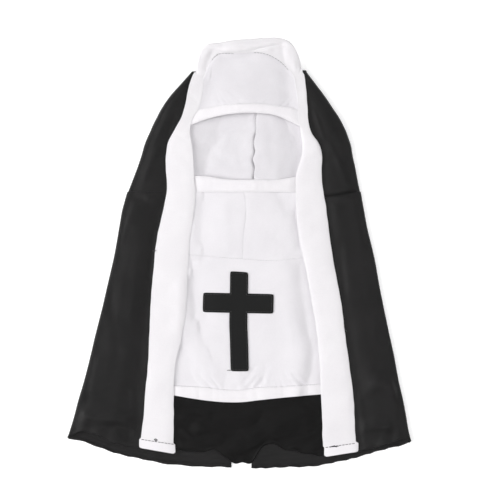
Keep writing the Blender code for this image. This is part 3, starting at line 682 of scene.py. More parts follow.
def under_band(relief, x, y, side=None):
    """Keeps folds from rising where the band lies over them."""
    room = np.full(np.broadcast(x, y).shape, FOLD_ROOM)
    for edge, sign in SIDE_SIGN.items():
        if side in (edge, None):
            room = room * ease(sign * (section_x("inner_" + edge, y) - x), 0.0, FOLD_ROOM_REACH)
    return np.minimum(relief, room)


def gather_wave(along, seed, away=0.0):
    """Uneven waves of cloth drawn up on elastic; they slant as they run away from it.

    The odd lengths keep the waves from repeating.
    """
    along = along + away * np.sin(along / 14.0 + 2 * seed)
    bend = 2.1 * np.sin(along / 9.0 + seed) + 1.2 * np.sin(along / 4.1 + 2 * seed)
    depth = 0.5 + 0.3 * np.sin(along / 7.3 + 3 * seed) + 0.3 * np.sin(along / 3.1 + seed)
    broad = np.sin(2 * math.pi * along / GATHER_LENGTH + bend)
    return depth * (broad + 0.35 * np.sin(2 * math.pi * along / (0.37 * GATHER_LENGTH) - bend))


def beside_band(x, y):
    """0 under the band, rising to 1 in the open cloth between its two legs."""
    room = np.minimum(x - section_x("inner_left", y), section_x("inner_right", y) - x)
    return ease(room, *CASING_OPENS)


def front_height(x, y):
    """Height of the middle of the front layer: highest in the middle, lower beyond the band."""
    left = section_x("inner_left", y)
    right = section_x("inner_right", y)
    offset = (x - (left + right) / 2) / ((right - left) / 2)
    loft = smooth(LOFT, "height", y) / (1 + LOFT_FALL * offset ** 2)
    return FRONT_LEVEL + np.maximum(LEAST_LOFT, loft + folds_height(FRONT_FOLDS, x, y))


def hollow_share(y):
    """1 beside the face opening, falling to 0 above and below it."""
    return ease(y, *HOLLOW_LOW_Y) * ease(y, *HOLLOW_TOP_Y)


def hood_back(x, y, side, side_rise):
    """How far the inside back of the hood stands up: a bulge, two valleys, and its rising sides."""
    left, left_top, right_top, right = (smooth(HOOD_HOLLOW, name, y) for name in list(HOOD_HOLLOW)[1:])
    seam_x = smooth(MIDDLE_SEAMS, "white_back", y)
    left_half = LEFT_HALF_RISE * np.clip((x - left) / (seam_x - left), 0, 1)
    step = RIGHT_HALF_STEP if side == "right" else 0.0
    slope = RIGHT_SLOPE * np.clip(x - seam_x, 0, RIGHT_SLOPE_REACH)
    bulge = (left_half + step - slope) * ease(x, left, left_top) * ease(x, right, right_top)
    bulge = bulge - TOP_SINK * ease(y, *TOP_SINK_Y)
    if side == "left":
        climb = np.clip((x - left) / (section_x("inner_left", y) - SIDES_END[side] - left), 0, 1)
    else:
        climb = ease(x, right, section_x("inner_right", y) + SIDES_END[side])
    return (bulge - VALLEY_DROP) * hollow_share(y) * (1 - climb) + side_rise * climb


def unit(vectors):
    """The same directions with a length of 1."""
    return vectors / np.maximum(np.linalg.norm(vectors, axis=-1, keepdims=True), 1e-9)


def open_edges(squares, count):
    """Where each edge starts and ends that only one square has, in a grid of so many points."""
    starts = squares.reshape(-1)
    ends = np.roll(squares, -1, axis=1).reshape(-1)
    open_edge = ~np.isin(starts * count + ends, ends * count + starts)
    return starts[open_edge], ends[open_edge]


def shell_layers(middle, normal, half, rounding, starts, ends):
    """The points of the upper side, of each turn round the edge, and of the lower side."""
    outward = np.zeros_like(middle)
    sideways = np.cross(unit(middle[ends] - middle[starts]), normal[starts])
    np.add.at(outward, starts, sideways)
    np.add.at(outward, ends, sideways)
    outward = unit(outward)
    middle = middle - outward * half * rounding
    layers = [middle + normal * half]
    for turn in EDGE_TURNS:
        angle = math.radians(turn)
        layers.append(middle + half * (outward * math.cos(angle) * rounding + normal * math.sin(angle)))
    layers.append(middle - normal * half)
    for layer in layers:
        layer[:, 2] = np.maximum(layer[:, 2], 0)
    return layers


def cloth(name, node, points, thickness, material, keep=None, rounding=1.0, shaded_inside=None):
    """Makes a thin closed piece of cloth with rounded edges from a grid of points.

    points has a row for each section. thickness is one number or one for each point.
    keep says which squares of the grid are cloth. rounding is 1 for a folded edge and less for
    one that is sewn flat, for all points or for each. The last argument is a second, darker
    material, painted shade for the hood's hollow, and the number of columns that it covers.
    Returns the piece and its upper side.
    """
    grid = np.array(points, dtype=float)
    rows, columns = grid.shape[:2]
    count = rows * columns
    thick = np.broadcast_to(thickness, (rows, columns)).reshape(-1, 1)
    rounding = np.broadcast_to(rounding, (rows, columns)).reshape(-1, 1)
    normal = unit(np.cross(np.gradient(grid, axis=1), np.gradient(grid, axis=0)))
    turned = normal[:, -1, 2].mean() < 0
    normal = (-normal if turned else normal).reshape(-1, 3)

    corner = np.arange(count).reshape(rows, columns)
    squares = np.stack((corner[:-1, :-1], corner[:-1, 1:], corner[1:, 1:], corner[1:, :-1]), axis=2)
    kept = np.ones((rows - 1, columns - 1), bool) if keep is None else keep
    squares = squares[kept]
    if turned:
        squares = squares[:, ::-1]
    starts, ends = open_edges(squares, count)
    layers = shell_layers(grid.reshape(-1, 3), normal, thick / 2, rounding, starts, ends)
    underside = (len(layers) - 1) * count
    faces = [squares, squares[:, ::-1] + underside]
    for above in range(0, underside, count):
        below = above + count
        faces.append(np.stack((ends + above, starts + above, starts + below, ends + below), axis=1))
    used, faces = np.unique(np.concatenate(faces), return_inverse=True)
    faces = faces.reshape(-1, 4)
    places = np.concatenate(layers)[used] * MILLIMETRE
    piece = mesh_object(name, places, faces, np.tile(cloth_uv(grid), (len(layers), 1))[used], material)
    flat_sewn = np.maximum(rounding[starts, 0], rounding[ends, 0]) < CRISP_ROUNDING
    borders = np.stack((starts, ends), axis=1)[flat_sewn]
    sharpen(piece, np.searchsorted(used, np.concatenate((borders, borders + underside))))
    # The first columns take the darker white: painted shade for the hood's hollow
    if shaded_inside:
        shaded_squares = (np.nonzero(kept)[1] < shaded_inside[1]).astype(np.int32)
        piece.data.materials.append(shaded_inside[0])
        indices = np.zeros(len(faces), dtype=np.int32)
        indices[: 2 * len(shaded_squares)] = np.concatenate((shaded_squares, shaded_squares))
        piece.data.polygons.foreach_set("material_index", indices)
    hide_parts(node)
    place_piece(piece, material)
    return piece, layers[0].reshape(rows, columns, 3)


def cloth_uv(grid):
    """Coordinates in metres on the cloth: across it along each section, and up the garment."""
    across = np.cumsum(np.linalg.norm(np.diff(grid[:, :, [0, 2]], axis=1), axis=2), axis=1)
    across = np.concatenate((np.zeros((len(grid), 1)), across), axis=1)
    return np.stack((across, grid[:, :, 1]), axis=2).reshape(-1, 2) * MILLIMETRE


def mesh_object(name, places, faces, uv, material):
    """A smooth mesh object from its points, four-sided faces and cloth coordinates."""
    mesh = bpy.data.meshes.new(name)
    mesh.from_pydata(places.tolist(), [], faces.tolist())
    layer = mesh.uv_layers.new(name="cloth")
    layer.data.foreach_set("uv", uv[faces.reshape(-1)].astype(np.float32).reshape(-1))
    mesh.shade_smooth()
    mesh.materials.append(material)
    piece = bpy.data.objects.new(name, mesh)
    bpy.context.scene.collection.objects.link(piece)
    return piece


def place_piece(piece, material):
    """Lets a piece ride with the garment."""
    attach(piece, "root")


def sharpen(piece, borders):
    """Makes the border of a flat edge crisp, so that its shade doesn't spread over the cloth."""
    mesh = piece.data
    pairs = np.empty(2 * len(mesh.edges), dtype=np.int64)
    mesh.edges.foreach_get("vertices", pairs)
    pairs = np.sort(pairs.reshape(-1, 2), axis=1)
    size = len(mesh.vertices)
    borders = np.sort(borders, axis=1)
    crisp = np.isin(pairs[:, 0] * size + pairs[:, 1], borders[:, 0] * size + borders[:, 1])
    mesh.edges.foreach_set("use_edge_sharp", crisp)


def declare_sheet(piece, points, pieces=()):
    """Works out the size the piece of cloth was cut to, measured along its sections, and its area, but passes
    them on to nothing.
    """
    across = np.linalg.norm(np.diff(points, axis=1), axis=2).sum(axis=1).max()
    along = np.linalg.norm(np.diff(points, axis=0), axis=2).sum(axis=0).max()
    area = sum(face.area for face in piece.data.polygons) / 2
    flat = (round(float(across) * MILLIMETRE, 4), round(float(along) * MILLIMETRE, 4))
    area = min(area, flat[0] * flat[1])


def feed(node, inputs):
    """Gives a node's inputs their values, or links them to other nodes' outputs."""
    for key, value in inputs.items():
        if isinstance(value, bpy.types.NodeSocket):
            node.id_data.links.new(value, node.inputs[key])
        else:
            node.inputs[key].default_value = value


def new_material(name):
    """Returns a material, its shader, and a short way to add a node and get one of its outputs."""
    material = bpy.data.materials.new(name)
    material.use_nodes = True
    nodes = material.node_tree.nodes

    def add(kind, gives, inputs=None, **settings):
        node = nodes.new(kind)
        for key, value in settings.items():
            setattr(node, key, value)
        feed(node, inputs or {})
        return node.outputs[gives]

    return material, nodes["Principled BSDF"], add


def cloth_material(name, dark, light, roughness, gloss, sheen, thread, bump, twill=False, glow=0.0):
    """Woven cloth: threads that cross, soft shade differences and a low sheen.

    thread is the spacing of the threads in millimetres, twill makes diagonal ribs, and glow is
    the share of the light that spreads inside the cloth.
    """
    material, shader, add = new_material(name)
    where = add("ShaderNodeUVMap", "UV", uv_map="cloth")
    position = add("ShaderNodeTexCoord", "Object")
    turns = 1.0 / (thread * MILLIMETRE)

    def ribs(angle, scale):
        turn = {"Vector": where, "Rotation": (0, 0, math.radians(angle)), "Scale": (turns * scale,) * 3}
        wave = {"Scale": 0.314, "Distortion": 0.6, "Detail": 1.0, "Detail Scale": 0.5}
        return add("ShaderNodeTexWave", "Fac", {"Vector": add("ShaderNodeMapping", "Vector", turn), **wave})

    def noise(scale, detail):
        return add("ShaderNodeTexNoise", "Fac", {"Vector": position, "Scale": scale, "Detail": detail})

    def combined(operation, *values):
        return add("ShaderNodeMath", "Value", dict(enumerate(values)), operation=operation)

    first = ribs(45 if twill else 0, 0.7 if twill else 1.0)
    second = ribs(90, 1.0)
    weave = combined("ADD" if twill else "MULTIPLY", first, second)
    cloudy = noise(28.0, 3.0)
    fuzz = noise(900.0, 2.0)
    mixed = combined("MULTIPLY_ADD", fuzz, 0.45, cloudy)
    shade = add("ShaderNodeMapRange", "Result", {"Value": mixed, "From Min": 0.45, "From Max": 1.0})
    colour = add("ShaderNodeMix", "Result", {"Factor": shade, "A": dark, "B": light}, data_type="RGBA")
    worn = add("ShaderNodeMapRange", "Result", {
        "Value": cloudy,
        "From Min": 0.2,
        "From Max": 0.8,
        "To Min": roughness - 0.06,
        "To Max": roughness + 0.06,
    })
    raised = combined("MULTIPLY_ADD", fuzz, 0.6, weave)
    relief = add("ShaderNodeBump", "Normal", {"Strength": bump, "Distance": 0.00012, "Height": raised})
    feed(shader, {
        "Base Color": colour,
        "Roughness": worn,
        "Normal": relief,
        "Sheen Weight": sheen,
        "Sheen Roughness": 0.45,
        "Specular IOR Level": gloss,
    })
    if glow:
        feed(shader, {
            "Subsurface Weight": glow,
            "Subsurface Radius": (1.0, 1.0, 1.0),
            "Subsurface Scale": LIGHT_SPREAD * MILLIMETRE,
        })
    return material


def black_twill(name, dark, light, roughness, gloss, sheen):
    """Black satin with fine diagonal ribs."""
    return cloth_material(name, dark, light, roughness, gloss, sheen, 0.5, 0.5, twill=True)


def white_weave(name, dark, light, bump=0.35):
    """White plain cloth, thin enough for light to spread in it."""
    return cloth_material(name, dark, light, 0.8, 0.2, 0.15, 0.45, bump, glow=0.3)


def thread_material(name, colour):
    """Twisted sewing thread."""
    material, shader, add = new_material(name)
    position = add("ShaderNodeTexCoord", "Object")
    twist = add("ShaderNodeTexNoise", "Fac", {"Vector": position, "Scale": 1500.0, "Detail": 1.0})
    shade = add("ShaderNodeValToRGB", "Color", {"Fac": twist})
    dark, light = shade.node.color_ramp.elements
    dark.color = tuple(channel * 0.7 for channel in colour[:3]) + (1.0,)
    light.color = colour
    relief = add("ShaderNodeBump", "Normal", {"Strength": 0.4, "Distance": 0.00008, "Height": twist})
    feed(shader, {"Base Color": shade, "Roughness": 0.6, "Normal": relief, "Sheen Weight": 0.2})
    return material


BLACK = black_twill(
    "black_satin_twill", (0.0018, 0.0016, 0.0017, 1), (0.0060, 0.0052, 0.0056, 1), 0.38, 0.25, 0.04
)
# The black layer between the band's legs is darker and less glossy than the outer black: painted shade for
# where it lies recessed under the bib and between the bands
BLACK_PANEL_SHADED = black_twill(
    "black_panel_painted_shade", (0.0013, 0.0012, 0.0012, 1), (0.0040, 0.0035, 0.0037, 1), 0.34, 0.14, 0.03
)
BLACK_APPLIQUE = cloth_material(
    "black_applique_cloth", (0.002, 0.0021, 0.0022, 1), (0.006, 0.0062, 0.0063, 1), 0.6, 0.18, 0.08, 0.45, 0.5
)
WHITE = white_weave("white_plain_weave", (0.760, 0.737, 0.770, 1), (0.815, 0.791, 0.824, 1))
# The same white cloth, darker: painted shade for the hollow inside the hood
WHITE_HOOD_SHADED = white_weave("white_hood_painted_shade", (0.720, 0.699, 0.731, 1), (0.775, 0.753, 0.786, 1))
WHITE_FOREHEAD = white_weave("white_forehead_cloth", (0.715, 0.694, 0.726, 1), (0.770, 0.748, 0.781, 1))
WHITE_BAND = white_weave("white_band_cloth", (0.765, 0.742, 0.768, 1), (0.825, 0.803, 0.826, 1), 0.3)
BLACK_THREAD = thread_material("black_thread", (0.02, 0.019, 0.02, 1))
WHITE_THREAD = thread_material("white_thread", (0.86, 0.84, 0.87, 1))


def wrap_places(back, fold, front):
    """Places of the columns of a wrapped piece: to 1 on the back, to 2 round the fold, to 3 in front."""
    return spaced(0, (1, back), (2, fold), (3, front))


def wrapped(place, seam_x, fold_x, low, high, end_x, end_z, room=math.inf):
    """The x and z of a section from a back seam round the outer fold and over the front."""
    side = np.sign(fold_x - seam_x)
    radius = (high - low) / 2
    reach = np.minimum(radius, room)
    turn_x = fold_x - side * (reach + SOLID_CLOTH / 2)
    angle = math.pi * np.clip(place - 1, 0, 1)
    front = np.clip(place - 2, 0, 1)
    x = np.where(place <= 1, seam_x + (turn_x - seam_x) * place, turn_x + side * reach * np.sin(angle))
    x = np.where(place > 2, blend(turn_x, end_x, front), x)
    z = np.where(place <= 1, low, low + radius * (1 - np.cos(angle)))
    z = np.where(place > 2, blend(high, end_z, front), z)
    return x, z


def narrowed(points, full_rows, columns):
    """Which squares are cloth in a grid where only the first columns go on past the full rows."""
    row, column = np.mgrid[0 : points.shape[0] - 1, 0 : points.shape[1] - 1]
    return (row < full_rows - 1) | (column < columns)


def black_seam_x(side, y):
    """The centre-back edge of a black half, which opens into a slit at the hem."""
    opening = CLOSED_SEAM + SLIT_WIDTH * (1 - ease(y, SLIT_FULL_Y, SLIT_TOP_Y))
    return smooth(MIDDLE_SEAMS, "black_back", y) + SIDE_SIGN[side] * opening / 2


def black_section(side, place, y):
    """The x and z of a black half, its front sagging between the outer fold and the band."""
    sign = SIDE_SIGN[side]
    end_x = blend(section_x("outer_" + side, y), section_x("inner_" + side, y), TUCK_SHARE)
    fold_x = section_x("fold_" + side, y) + sign * FOLD_OUTSET
    fold_top = FOLD_TOP + UPPER_FOLD_RISE * ease(y, *UPPER_FOLD_Y)
    end_z = front_height(end_x, y) - UNDER_BAND_DROP
    x, z = wrapped(place, black_seam_x(side, y), fold_x, BACK_LEVEL, fold_top, end_x, end_z)
    front = np.clip(place - 2, 0, 1)
    wide = ease(np.abs(end_x - fold_x), *WING_WIDE)
    crest = ease(front, 0.0, 0.3) * ease(front, 0.95, 0.3)
    valley = ease(y, *LEFT_VALLEY_Y) if side == "left" else 1.0
    z = z + wide * (WING_CREST[side] * crest - WING_VALLEY[side] * near(front - 0.8, 0.11) * valley)
    lift = folds_height(WING_FOLDS, x, y) + folds_height(WING_CREASES, x, y)
    lift = lift + unevenness(x, y, "cape", sign)
    return x, z + lift * ease(front, 0.0, 0.12) * ease(1 - front, 0.0, 0.2)


def yoke_y(side, place):
    """The height of the yoke seam, which slants over the front of the right side."""
    tilt = RIGHT_YOKE_TILT if side == "right" else 0.0
    return YOKE_Y - tilt * np.clip(place - 2, 0, 1)


def yoke_groove(side, place, away):
    """How deep the front is drawn in beside the yoke seam."""
    return SEAM_GROOVE[side] * near(away, SEAM_GROOVE_REACH) * ease(place, 1.9, 2.1)


def cape(side):
    """A half of the black cape with its rolled, rippled hem."""
    place = wrap_places(*CAPE_STEPS)[None, :]
    share = spaced(0, *CAPE_ROWS)[:, None]
    corner_y = BACK_HEM["y"][0 if side == "left" else -1] + 0 * place
    hem_x = black_section(side, place, corner_y)[0]
    turned = ease(place, 1.0, 2.0)
    hem_y = smooth(BACK_HEM, "y", hem_x) * (1 - turned) + smooth(FRONT_HEM, "y", hem_x) * turned
    front = np.clip(place - 2, 0, 1)
    top_y = yoke_y(side, place) - CLOSED_SEAM
    y = blend(top_y, hem_y, share)
    along = hem_x + HEM_WAVE_SHIFT * turned
    ripple = np.sin(2 * math.pi * along / HEM_WAVE_LENGTH[side] + 1.4 * np.sin(along / 17.0))
    fade = ease(y - hem_y, HEM_WAVE_REACH, 0.0)
    y = y + HEM_WAVE[side] * ripple * fade
    x, z = black_section(side, place, y)
    step = YOKE_STEP * near(top_y - y, YOKE_STEP_REACH) * np.sin(math.pi * np.clip(place - 1, 0, 1))
    lift = HEM_LIFT * (0.5 + 0.5 * ripple) * fade ** 2 * ease(1 - front, 0.05, 0.3)
    bead = HEM_BEAD * near(y - hem_y - HEM_BEAD_INSET, HEM_BEAD_REACH) * (1 - 0.6 * ease(place, 1.0, 2.0))
    streak = 0.5 + 0.5 * np.sin(2 * math.pi * (y - hem_y) / HEM_STREAK_LENGTH + 1.3 * np.sin(x / 23.0))
    streak = HEM_STREAK * streak * near(y - hem_y, HEM_STREAK_REACH)
    streak = streak * (place < 1) * ease(1 - place, 0.0, 0.05)
    z = z + lift * np.where(place > 2, 1.0, 0.5) - yoke_groove(side, place, top_y - y)
    z = z + bead / 2 * (place < 1.5) + streak
    points = np.stack((x + SIDE_SIGN[side] * step, y, z), axis=2)
    rounding = blend(BLACK_SEAM_ROUNDING, 1, ease(share, 0.0, 0.05)) + 0 * place
    thickness = BLACK_THICKNESS + bead
    piece, _ = cloth("cape_cloth_" + side, "cape_" + side, points, thickness, BLACK, rounding=rounding)
    declare_sheet(piece, points)


def veil(side):
    """A half of the black hood, from the yoke seam to the crown."""
    place = wrap_places(*VEIL_STEPS)[None, :]
    top = VEIL_TOP_Y[side]
    share = np.linspace(0, 1, VEIL_ROWS)[:, None]
    low_y = yoke_y(side, place)
    y = blend(low_y, top, share)
    x, z = black_section(side, place, y)
    z = z - yoke_groove(side, place, y - low_y)
    wrapped_part = np.stack((x, y, z), axis=2)
    crown_top = CROWN_SEAM_CENTRE[1] + CROWN_SEAM_RADII[1] * VEIL_CROWN_SHARE
    crown_y = np.linspace(top + SEAM_STEP, crown_top, VEIL_CROWN_ROWS)[:, None] + 0 * place
    rise = np.clip((crown_y - CROWN_SEAM_CENTRE[1]) / CROWN_SEAM_RADII[1], 0, 1)
    edge_x = CROWN_SEAM_CENTRE[0] + SIDE_SIGN[side] * CROWN_SEAM_RADII[0] * np.sqrt(1 - rise ** 2)
    crown_x = blend(black_seam_x(side, crown_y), edge_x, np.minimum(place, 1))
    crown_part = np.stack((crown_x, crown_y, BACK_LEVEL + 0 * crown_x), axis=2)
    points = np.concatenate((wrapped_part, crown_part))
    keep = narrowed(points, len(share), VEIL_STEPS[0])
    piece, _ = cloth(
        "veil_cloth_" + side, "veil_" + side, points, BLACK_THICKNESS, BLACK, keep, BLACK_SEAM_ROUNDING
    )
    declare_sheet(piece, points)


def front_panel():
    """The black layer inside, between the bands, with soft folds and a rolled hem."""
    across = np.linspace(0, 1, PANEL_COLUMNS)[None, :]
    share = spaced(0, *PANEL_ROWS)[:, None]
    hem_left = SECTIONS["outer_left"][0] + PANEL_OVERLAP
    hem_right = SECTIONS["outer_right"][0] - PANEL_OVERLAP
    hem_x = blend(hem_left, hem_right, across)
    hem_y = smooth(PANEL_HEM, "y", hem_x)
    y = blend(PANEL_TOP_Y, hem_y, share)
    left = section_x("outer_left", y) + PANEL_OVERLAP
    right = section_x("outer_right", y) - PANEL_OVERLAP
    x = blend(left, right, across)
    ripple = np.sin(2 * math.pi * hem_x / PANEL_WAVE_LENGTH + 1.2 * np.sin(hem_x / 13.0))
    fade = ease(y - hem_y, PANEL_WAVE_REACH, 0.0)
    open_part = ease(x - left, *PANEL_OPEN_REACH) * ease(right - x, *PANEL_OPEN_REACH)
    open_part = open_part * ease(y, *PANEL_OPEN_Y)
    lift = folds_height(PANEL_FOLDS, x, y, np.maximum) + folds_height(PANEL_WRINKLES, x, y)
    lift = lift + unevenness(x, y, "panel")
    lift = lift + PANEL_LIFT * (0.5 + 0.5 * ripple) * fade
    under_hem = PANEL_HEM_RISE * near(y - white_edge("bib_end", x) - 1.0, PANEL_HEM_RISE_REACH)
    under_hem = under_hem * ease(x, *PANEL_HEM_RISE_X)
    bead = PANEL_BEAD * near(y - hem_y - HEM_BEAD_INSET, HEM_BEAD_REACH)
    z = INNER_LEVEL + np.maximum(lift - PANEL_SLACK, -PANEL_SLACK) * open_part
    z = z + bead / 2 - PANEL_SINK * ease(y, *PANEL_SINK_Y) + under_hem
    points = np.stack((x, y + PANEL_WAVE * ripple * fade, z), axis=2)
    # The panel takes the darker black, painted shade for its recess
    piece, _ = cloth("panel_cloth", "front_panel", points, BLACK_THICKNESS + bead, BLACK_PANEL_SHADED)
    declare_sheet(piece, points)


def coif_wrap(side, place, y):
    """The x and z of an inner half wrapped round its fold, the x of its back and front seams, how far
    its side rises, and the share of the way over the neck.
    """
    sign = SIDE_SIGN[side]
    inner = section_x("inner_" + side, y)
    fold_x = blend(inner, section_x("outer_" + side, y), COIF_FOLD_SHARE)
    lip_x = inner + sign * COIF_LIP
    front_x = smooth(MIDDLE_SEAMS, "white_front", y) + sign * CLOSED_SEAM / 2
    puckered = ease(y, *BACK_SEAM_PUCKER_Y)
    seam_wave = np.sin(y / 2.9 + 0.8 * np.sin(y / 7.0))
    back_x = smooth(MIDDLE_SEAMS, "white_back", y) + sign * CLOSED_SEAM / 2
    back_x = back_x + BACK_SEAM_WAVE * seam_wave * (0.25 + 0.75 * puckered)
    room = np.abs(fold_x - lip_x) - SOLID_CLOTH
    sunk = COIF_FOLD_DROP * ease(y, *SEWN_BAND_Y)
    high = front_height(fold_x, y) - sunk
    side_rise = np.minimum((SIDE_RISE[side] - VALLEY_DROP) * hollow_share(y), high - LAYER_ROOM - INNER_LEVEL)
    low = INNER_LEVEL + side_rise
    x, z = wrapped(place, back_x, fold_x, low, high, lip_x, front_height(lip_x, y) - sunk, room)
    turn_x = fold_x - sign * (np.minimum((high - low) / 2, room) + SOLID_CLOTH / 2)
    lip = np.clip((place - 2) / (COIF_LIP_PLACE - 2), 0, 1)
    neck = np.clip((place - COIF_LIP_PLACE) / (3 - COIF_LIP_PLACE), 0, 1)
    x = np.where(place > 2, blend(turn_x, lip_x, lip), x)
    x = np.where(place > COIF_LIP_PLACE, blend(lip_x, front_x, neck), x)
    z = np.where(place > 2, high + (front_height(x, y) - sunk - high) * lip, z)
    return x, z, back_x, front_x, side_rise, neck


def coif_neck(side, x, y, front_x, neck):
    """The height of the neck, with soft creases and its seam at the front."""
    relief = folds_height(WHITE_CREASES, x, y) + unevenness(x, y, "coif", SIDE_SIGN[side])
    relief = relief - FLAT_SEAM_GROOVE * near(x - front_x, 1.3)
    dome = front_height(x, y) - front_height(section_x("inner_left", y), y)
    relief = relief - NECK_SINK * dome * ease(y, *NECK_SINK_Y[0]) * ease(y, *NECK_SINK_Y[1])
    return front_height(x, y) + under_band(relief, x, y, side) * ease(neck, 0.0, 0.05)


def coif_inside(side, place, x, y, back_x, side_rise):
    """The height of the hood's inside back, puckered along its seam."""
    creases = folds_height(INNER_CREASES, x, y) + unevenness(x, y, "coif_back", SIDE_SIGN[side])
    creases = creases * ease(1 - place, 0.0, 0.1)
    inside = INNER_LEVEL + hood_back(x, y, side, side_rise) + np.maximum(creases, LEAST_CREASE)
    lowest = BLACK_THICKNESS + WHITE_THICKNESS / 2 + INSIDE_CLEARANCE
    puckered = ease(y, *BACK_SEAM_PUCKER_Y)
    drawn = BACK_SEAM_DEPTH * (0.2 + puckered * (0.4 + 0.25 * np.sin(y / 2.1)))
    inside = inside - drawn * near(x - back_x, BACK_SEAM_REACH) * (1.0 if side == "left" else 0.1)
    return np.maximum(inside, lowest)


def coif_section(side, place, y):
    """The x and z of an inner half, from the back seam round the fold to the front seam."""
    x, z, back_x, front_x, side_rise, neck = coif_wrap(side, place, y)
    z = np.where(place > COIF_LIP_PLACE, coif_neck(side, x, y, front_x, neck), z)
    return x, np.where(place <= 1, coif_inside(side, place, x, y, back_x, side_rise), z)


def coif(side):
    """A half of the white hood: its back, its outer fold, and the front of the neck."""
    back_and_fold = np.concatenate((BESIDE_BACK_SEAM, wrap_places(*COIF_STEPS)[1:-1]))
    neck_places = np.linspace(COIF_LIP_PLACE, 3, COIF_NECK_COLUMNS)[1:]
    place = np.concatenate((back_and_fold, (2.05, COIF_LIP_PLACE), neck_places))
    lip_column = int(np.argmin(np.abs(place - COIF_LIP_PLACE)))
    place = place[None, :]
    neck_share = np.linspace(0, 1, COIF_NECK_ROWS)[:, None]
    low_x = coif_section(side, place, COIF_BACK_Y + 0 * place)[0]
    low_y = np.where(place > 1, white_edge("neck_seam", low_x), COIF_BACK_Y)
    neck_y = blend(low_y, CHIN_SEAM_Y, neck_share)
    head_y = np.linspace(CHIN_SEAM_Y + SEAM_STEP, COIF_TOP_Y, COIF_HEAD_ROWS)[:, None] + 0 * place
    y = np.concatenate((neck_y, head_y))
    x, z = coif_section(side, place, y)
    edge = np.minimum(np.abs(y - low_y), np.abs(y - CHIN_SEAM_Y))
    z = z - FLAT_SEAM_GROOVE * near(edge, SEAM_GROOVE_REACH) * (place > COIF_LIP_PLACE)
    points = np.stack((x, y, z), axis=2)
    keep = narrowed(points, len(neck_share), lip_column)
    # The inside back of the hood takes the darker white, painted shade for its hollow
    piece, _ = cloth(
        "coif_cloth_" + side, "coif_" + side, points, WHITE_THICKNESS, WHITE, keep, FLAT_ROUNDING,
        (WHITE_HOOD_SHADED, lip_column),
    )
    declare_sheet(piece, points)


def between_legs(y, across):
    """The x at shares of the way between the band's legs, with both ends tucked under them."""
    return blend(section_x("inner_left", y) - PANEL_TUCK, section_x("inner_right", y) + PANEL_TUCK, across)


def elastic_tube(name, node, x, y, relief, share, from_free, thinning, lowest, stitch_rows):
    """Makes a flat tube of cloth round elastic, whose ends lie lower and thinner under the band.

    stitch_rows has the name of each line of stitches and its row of the grid.
    """
    open_part = beside_band(x, y)
    thickness = CASING_THICKNESS - thinning * (2 * share - 1) ** 4
    thickness = blend(TUCKED_THICKNESS, thickness, open_part)
    z = front_height(x, y) + relief * open_part - TUCKED_DROP * (1 - open_part)
    points = np.stack((x, y, np.maximum(z, lowest + thickness / 2)), axis=2)
    rounding = FREE_ROUNDING + (FLAT_ROUNDING - FREE_ROUNDING) * from_free + 0 * x
    piece, upper = cloth(name, node, points, thickness, WHITE_BAND, rounding=rounding)
    lines = [stitches(line, upper[row], CASING_STITCH, WHITE_THREAD) for line, row in stitch_rows.items()]
    declare_sheet(piece, points, lines)


def casing(name, node, low_edge, high_edge, seed, turn_in, free_edge):
    """An elastic casing between two edges, softly puckered, its ends tucked under the band."""
    across, share = shares(*GRIDS["casing"])
    y = low_edge(0 * across) * (1 - share) + high_edge(0 * across) * share
    for _ in range(SETTLING_ROUNDS):
        x = between_legs(y, across)
        y = low_edge(x) * (1 - share) + high_edge(x) * share
    ends = np.sin(math.pi * across) ** 0.4
    pucker = CASING_PUCKER * gather_wave(x, seed) * np.sin(math.pi * share) * ends
    sewn = -CASING_PUCKER * sum(near(share - line, SEWN_LINE_REACH) for line in SEWN_LINES)
    from_free = share if free_edge == "low" else 1 - share
    relief = (pucker + sewn) * ends - turn_in * near(from_free, 0.22)
    stitch_rows = {name + "_stitches_low": 1, name + "_stitches_top": 10}
    elastic_tube(name, node, x, y, relief, share, from_free, 0.8, 0.0, stitch_rows)


def crown_seam(share, out):
    """Points of the curved seam between forehead and band, moved outward by out."""
    lengths = np.hypot(np.diff(CROWN["inner_x"]), np.diff(CROWN["inner_y"]))
    travelled = np.concatenate(([0.0], np.cumsum(lengths)))
    way = {"way": travelled, "x": CROWN["inner_x"], "y": CROWN["inner_y"]}
    x, y = (smooth(way, axis, share * travelled[-1]) for axis in ("x", "y"))
    length = np.hypot(x - CROWN_SEAM_CENTRE[0], y - CROWN_SEAM_CENTRE[1])
    return x + out * (x - CROWN_SEAM_CENTRE[0]) / length, y + out * (y - CROWN_SEAM_CENTRE[1]) / length


def forehead():
    """The white panel between the casing and the curved seam, gathered at the casing."""
    across, share = shares(*GRIDS["forehead"])
    top_x, top_y = crown_seam(across, PANEL_TUCK)
    x = top_x + 0 * share
    for _ in range(SETTLING_ROUNDS):
        low_y = white_edge("brow_top", x) + CLOSED_SEAM / 2
        y = blend(low_y, top_y, share)
        x = (1 - share) * between_legs(y, across) + share * top_x
    ends = np.sin(math.pi * across) ** 0.5 * ease(1 - share, 0.0, 0.15)
    drawn = FOREHEAD_GATHER * gather_wave(x, 1.0, y - low_y) * near(y - low_y, GATHER_REACH)
    relief = drawn + folds_height(WHITE_CREASES, x, y) + unevenness(x, y, "forehead")
    ground = front_height(x, y)
    edge_height = front_height(section_x("inner_left", y), y)
    relief = relief - FOREHEAD_SINK * (ground - edge_height) * ease(share, 0.0, 0.4)
    groove = FLAT_SEAM_GROOVE * near(y - low_y, SEAM_GROOVE_REACH)
    sewn = ease(share, 0.88, 0.99) * ease(np.abs(2 * across - 1), 1.0, 0.9)
    z = ground + relief * ends - groove - FOREHEAD_SEWN_DROP * sewn
    points = np.stack((x, y, z), axis=2)
    piece, _ = cloth(
        "forehead_cloth", "forehead", points, WHITE_THICKNESS, WHITE_FOREHEAD, rounding=FLAT_ROUNDING
    )
    declare_sheet(piece, points)


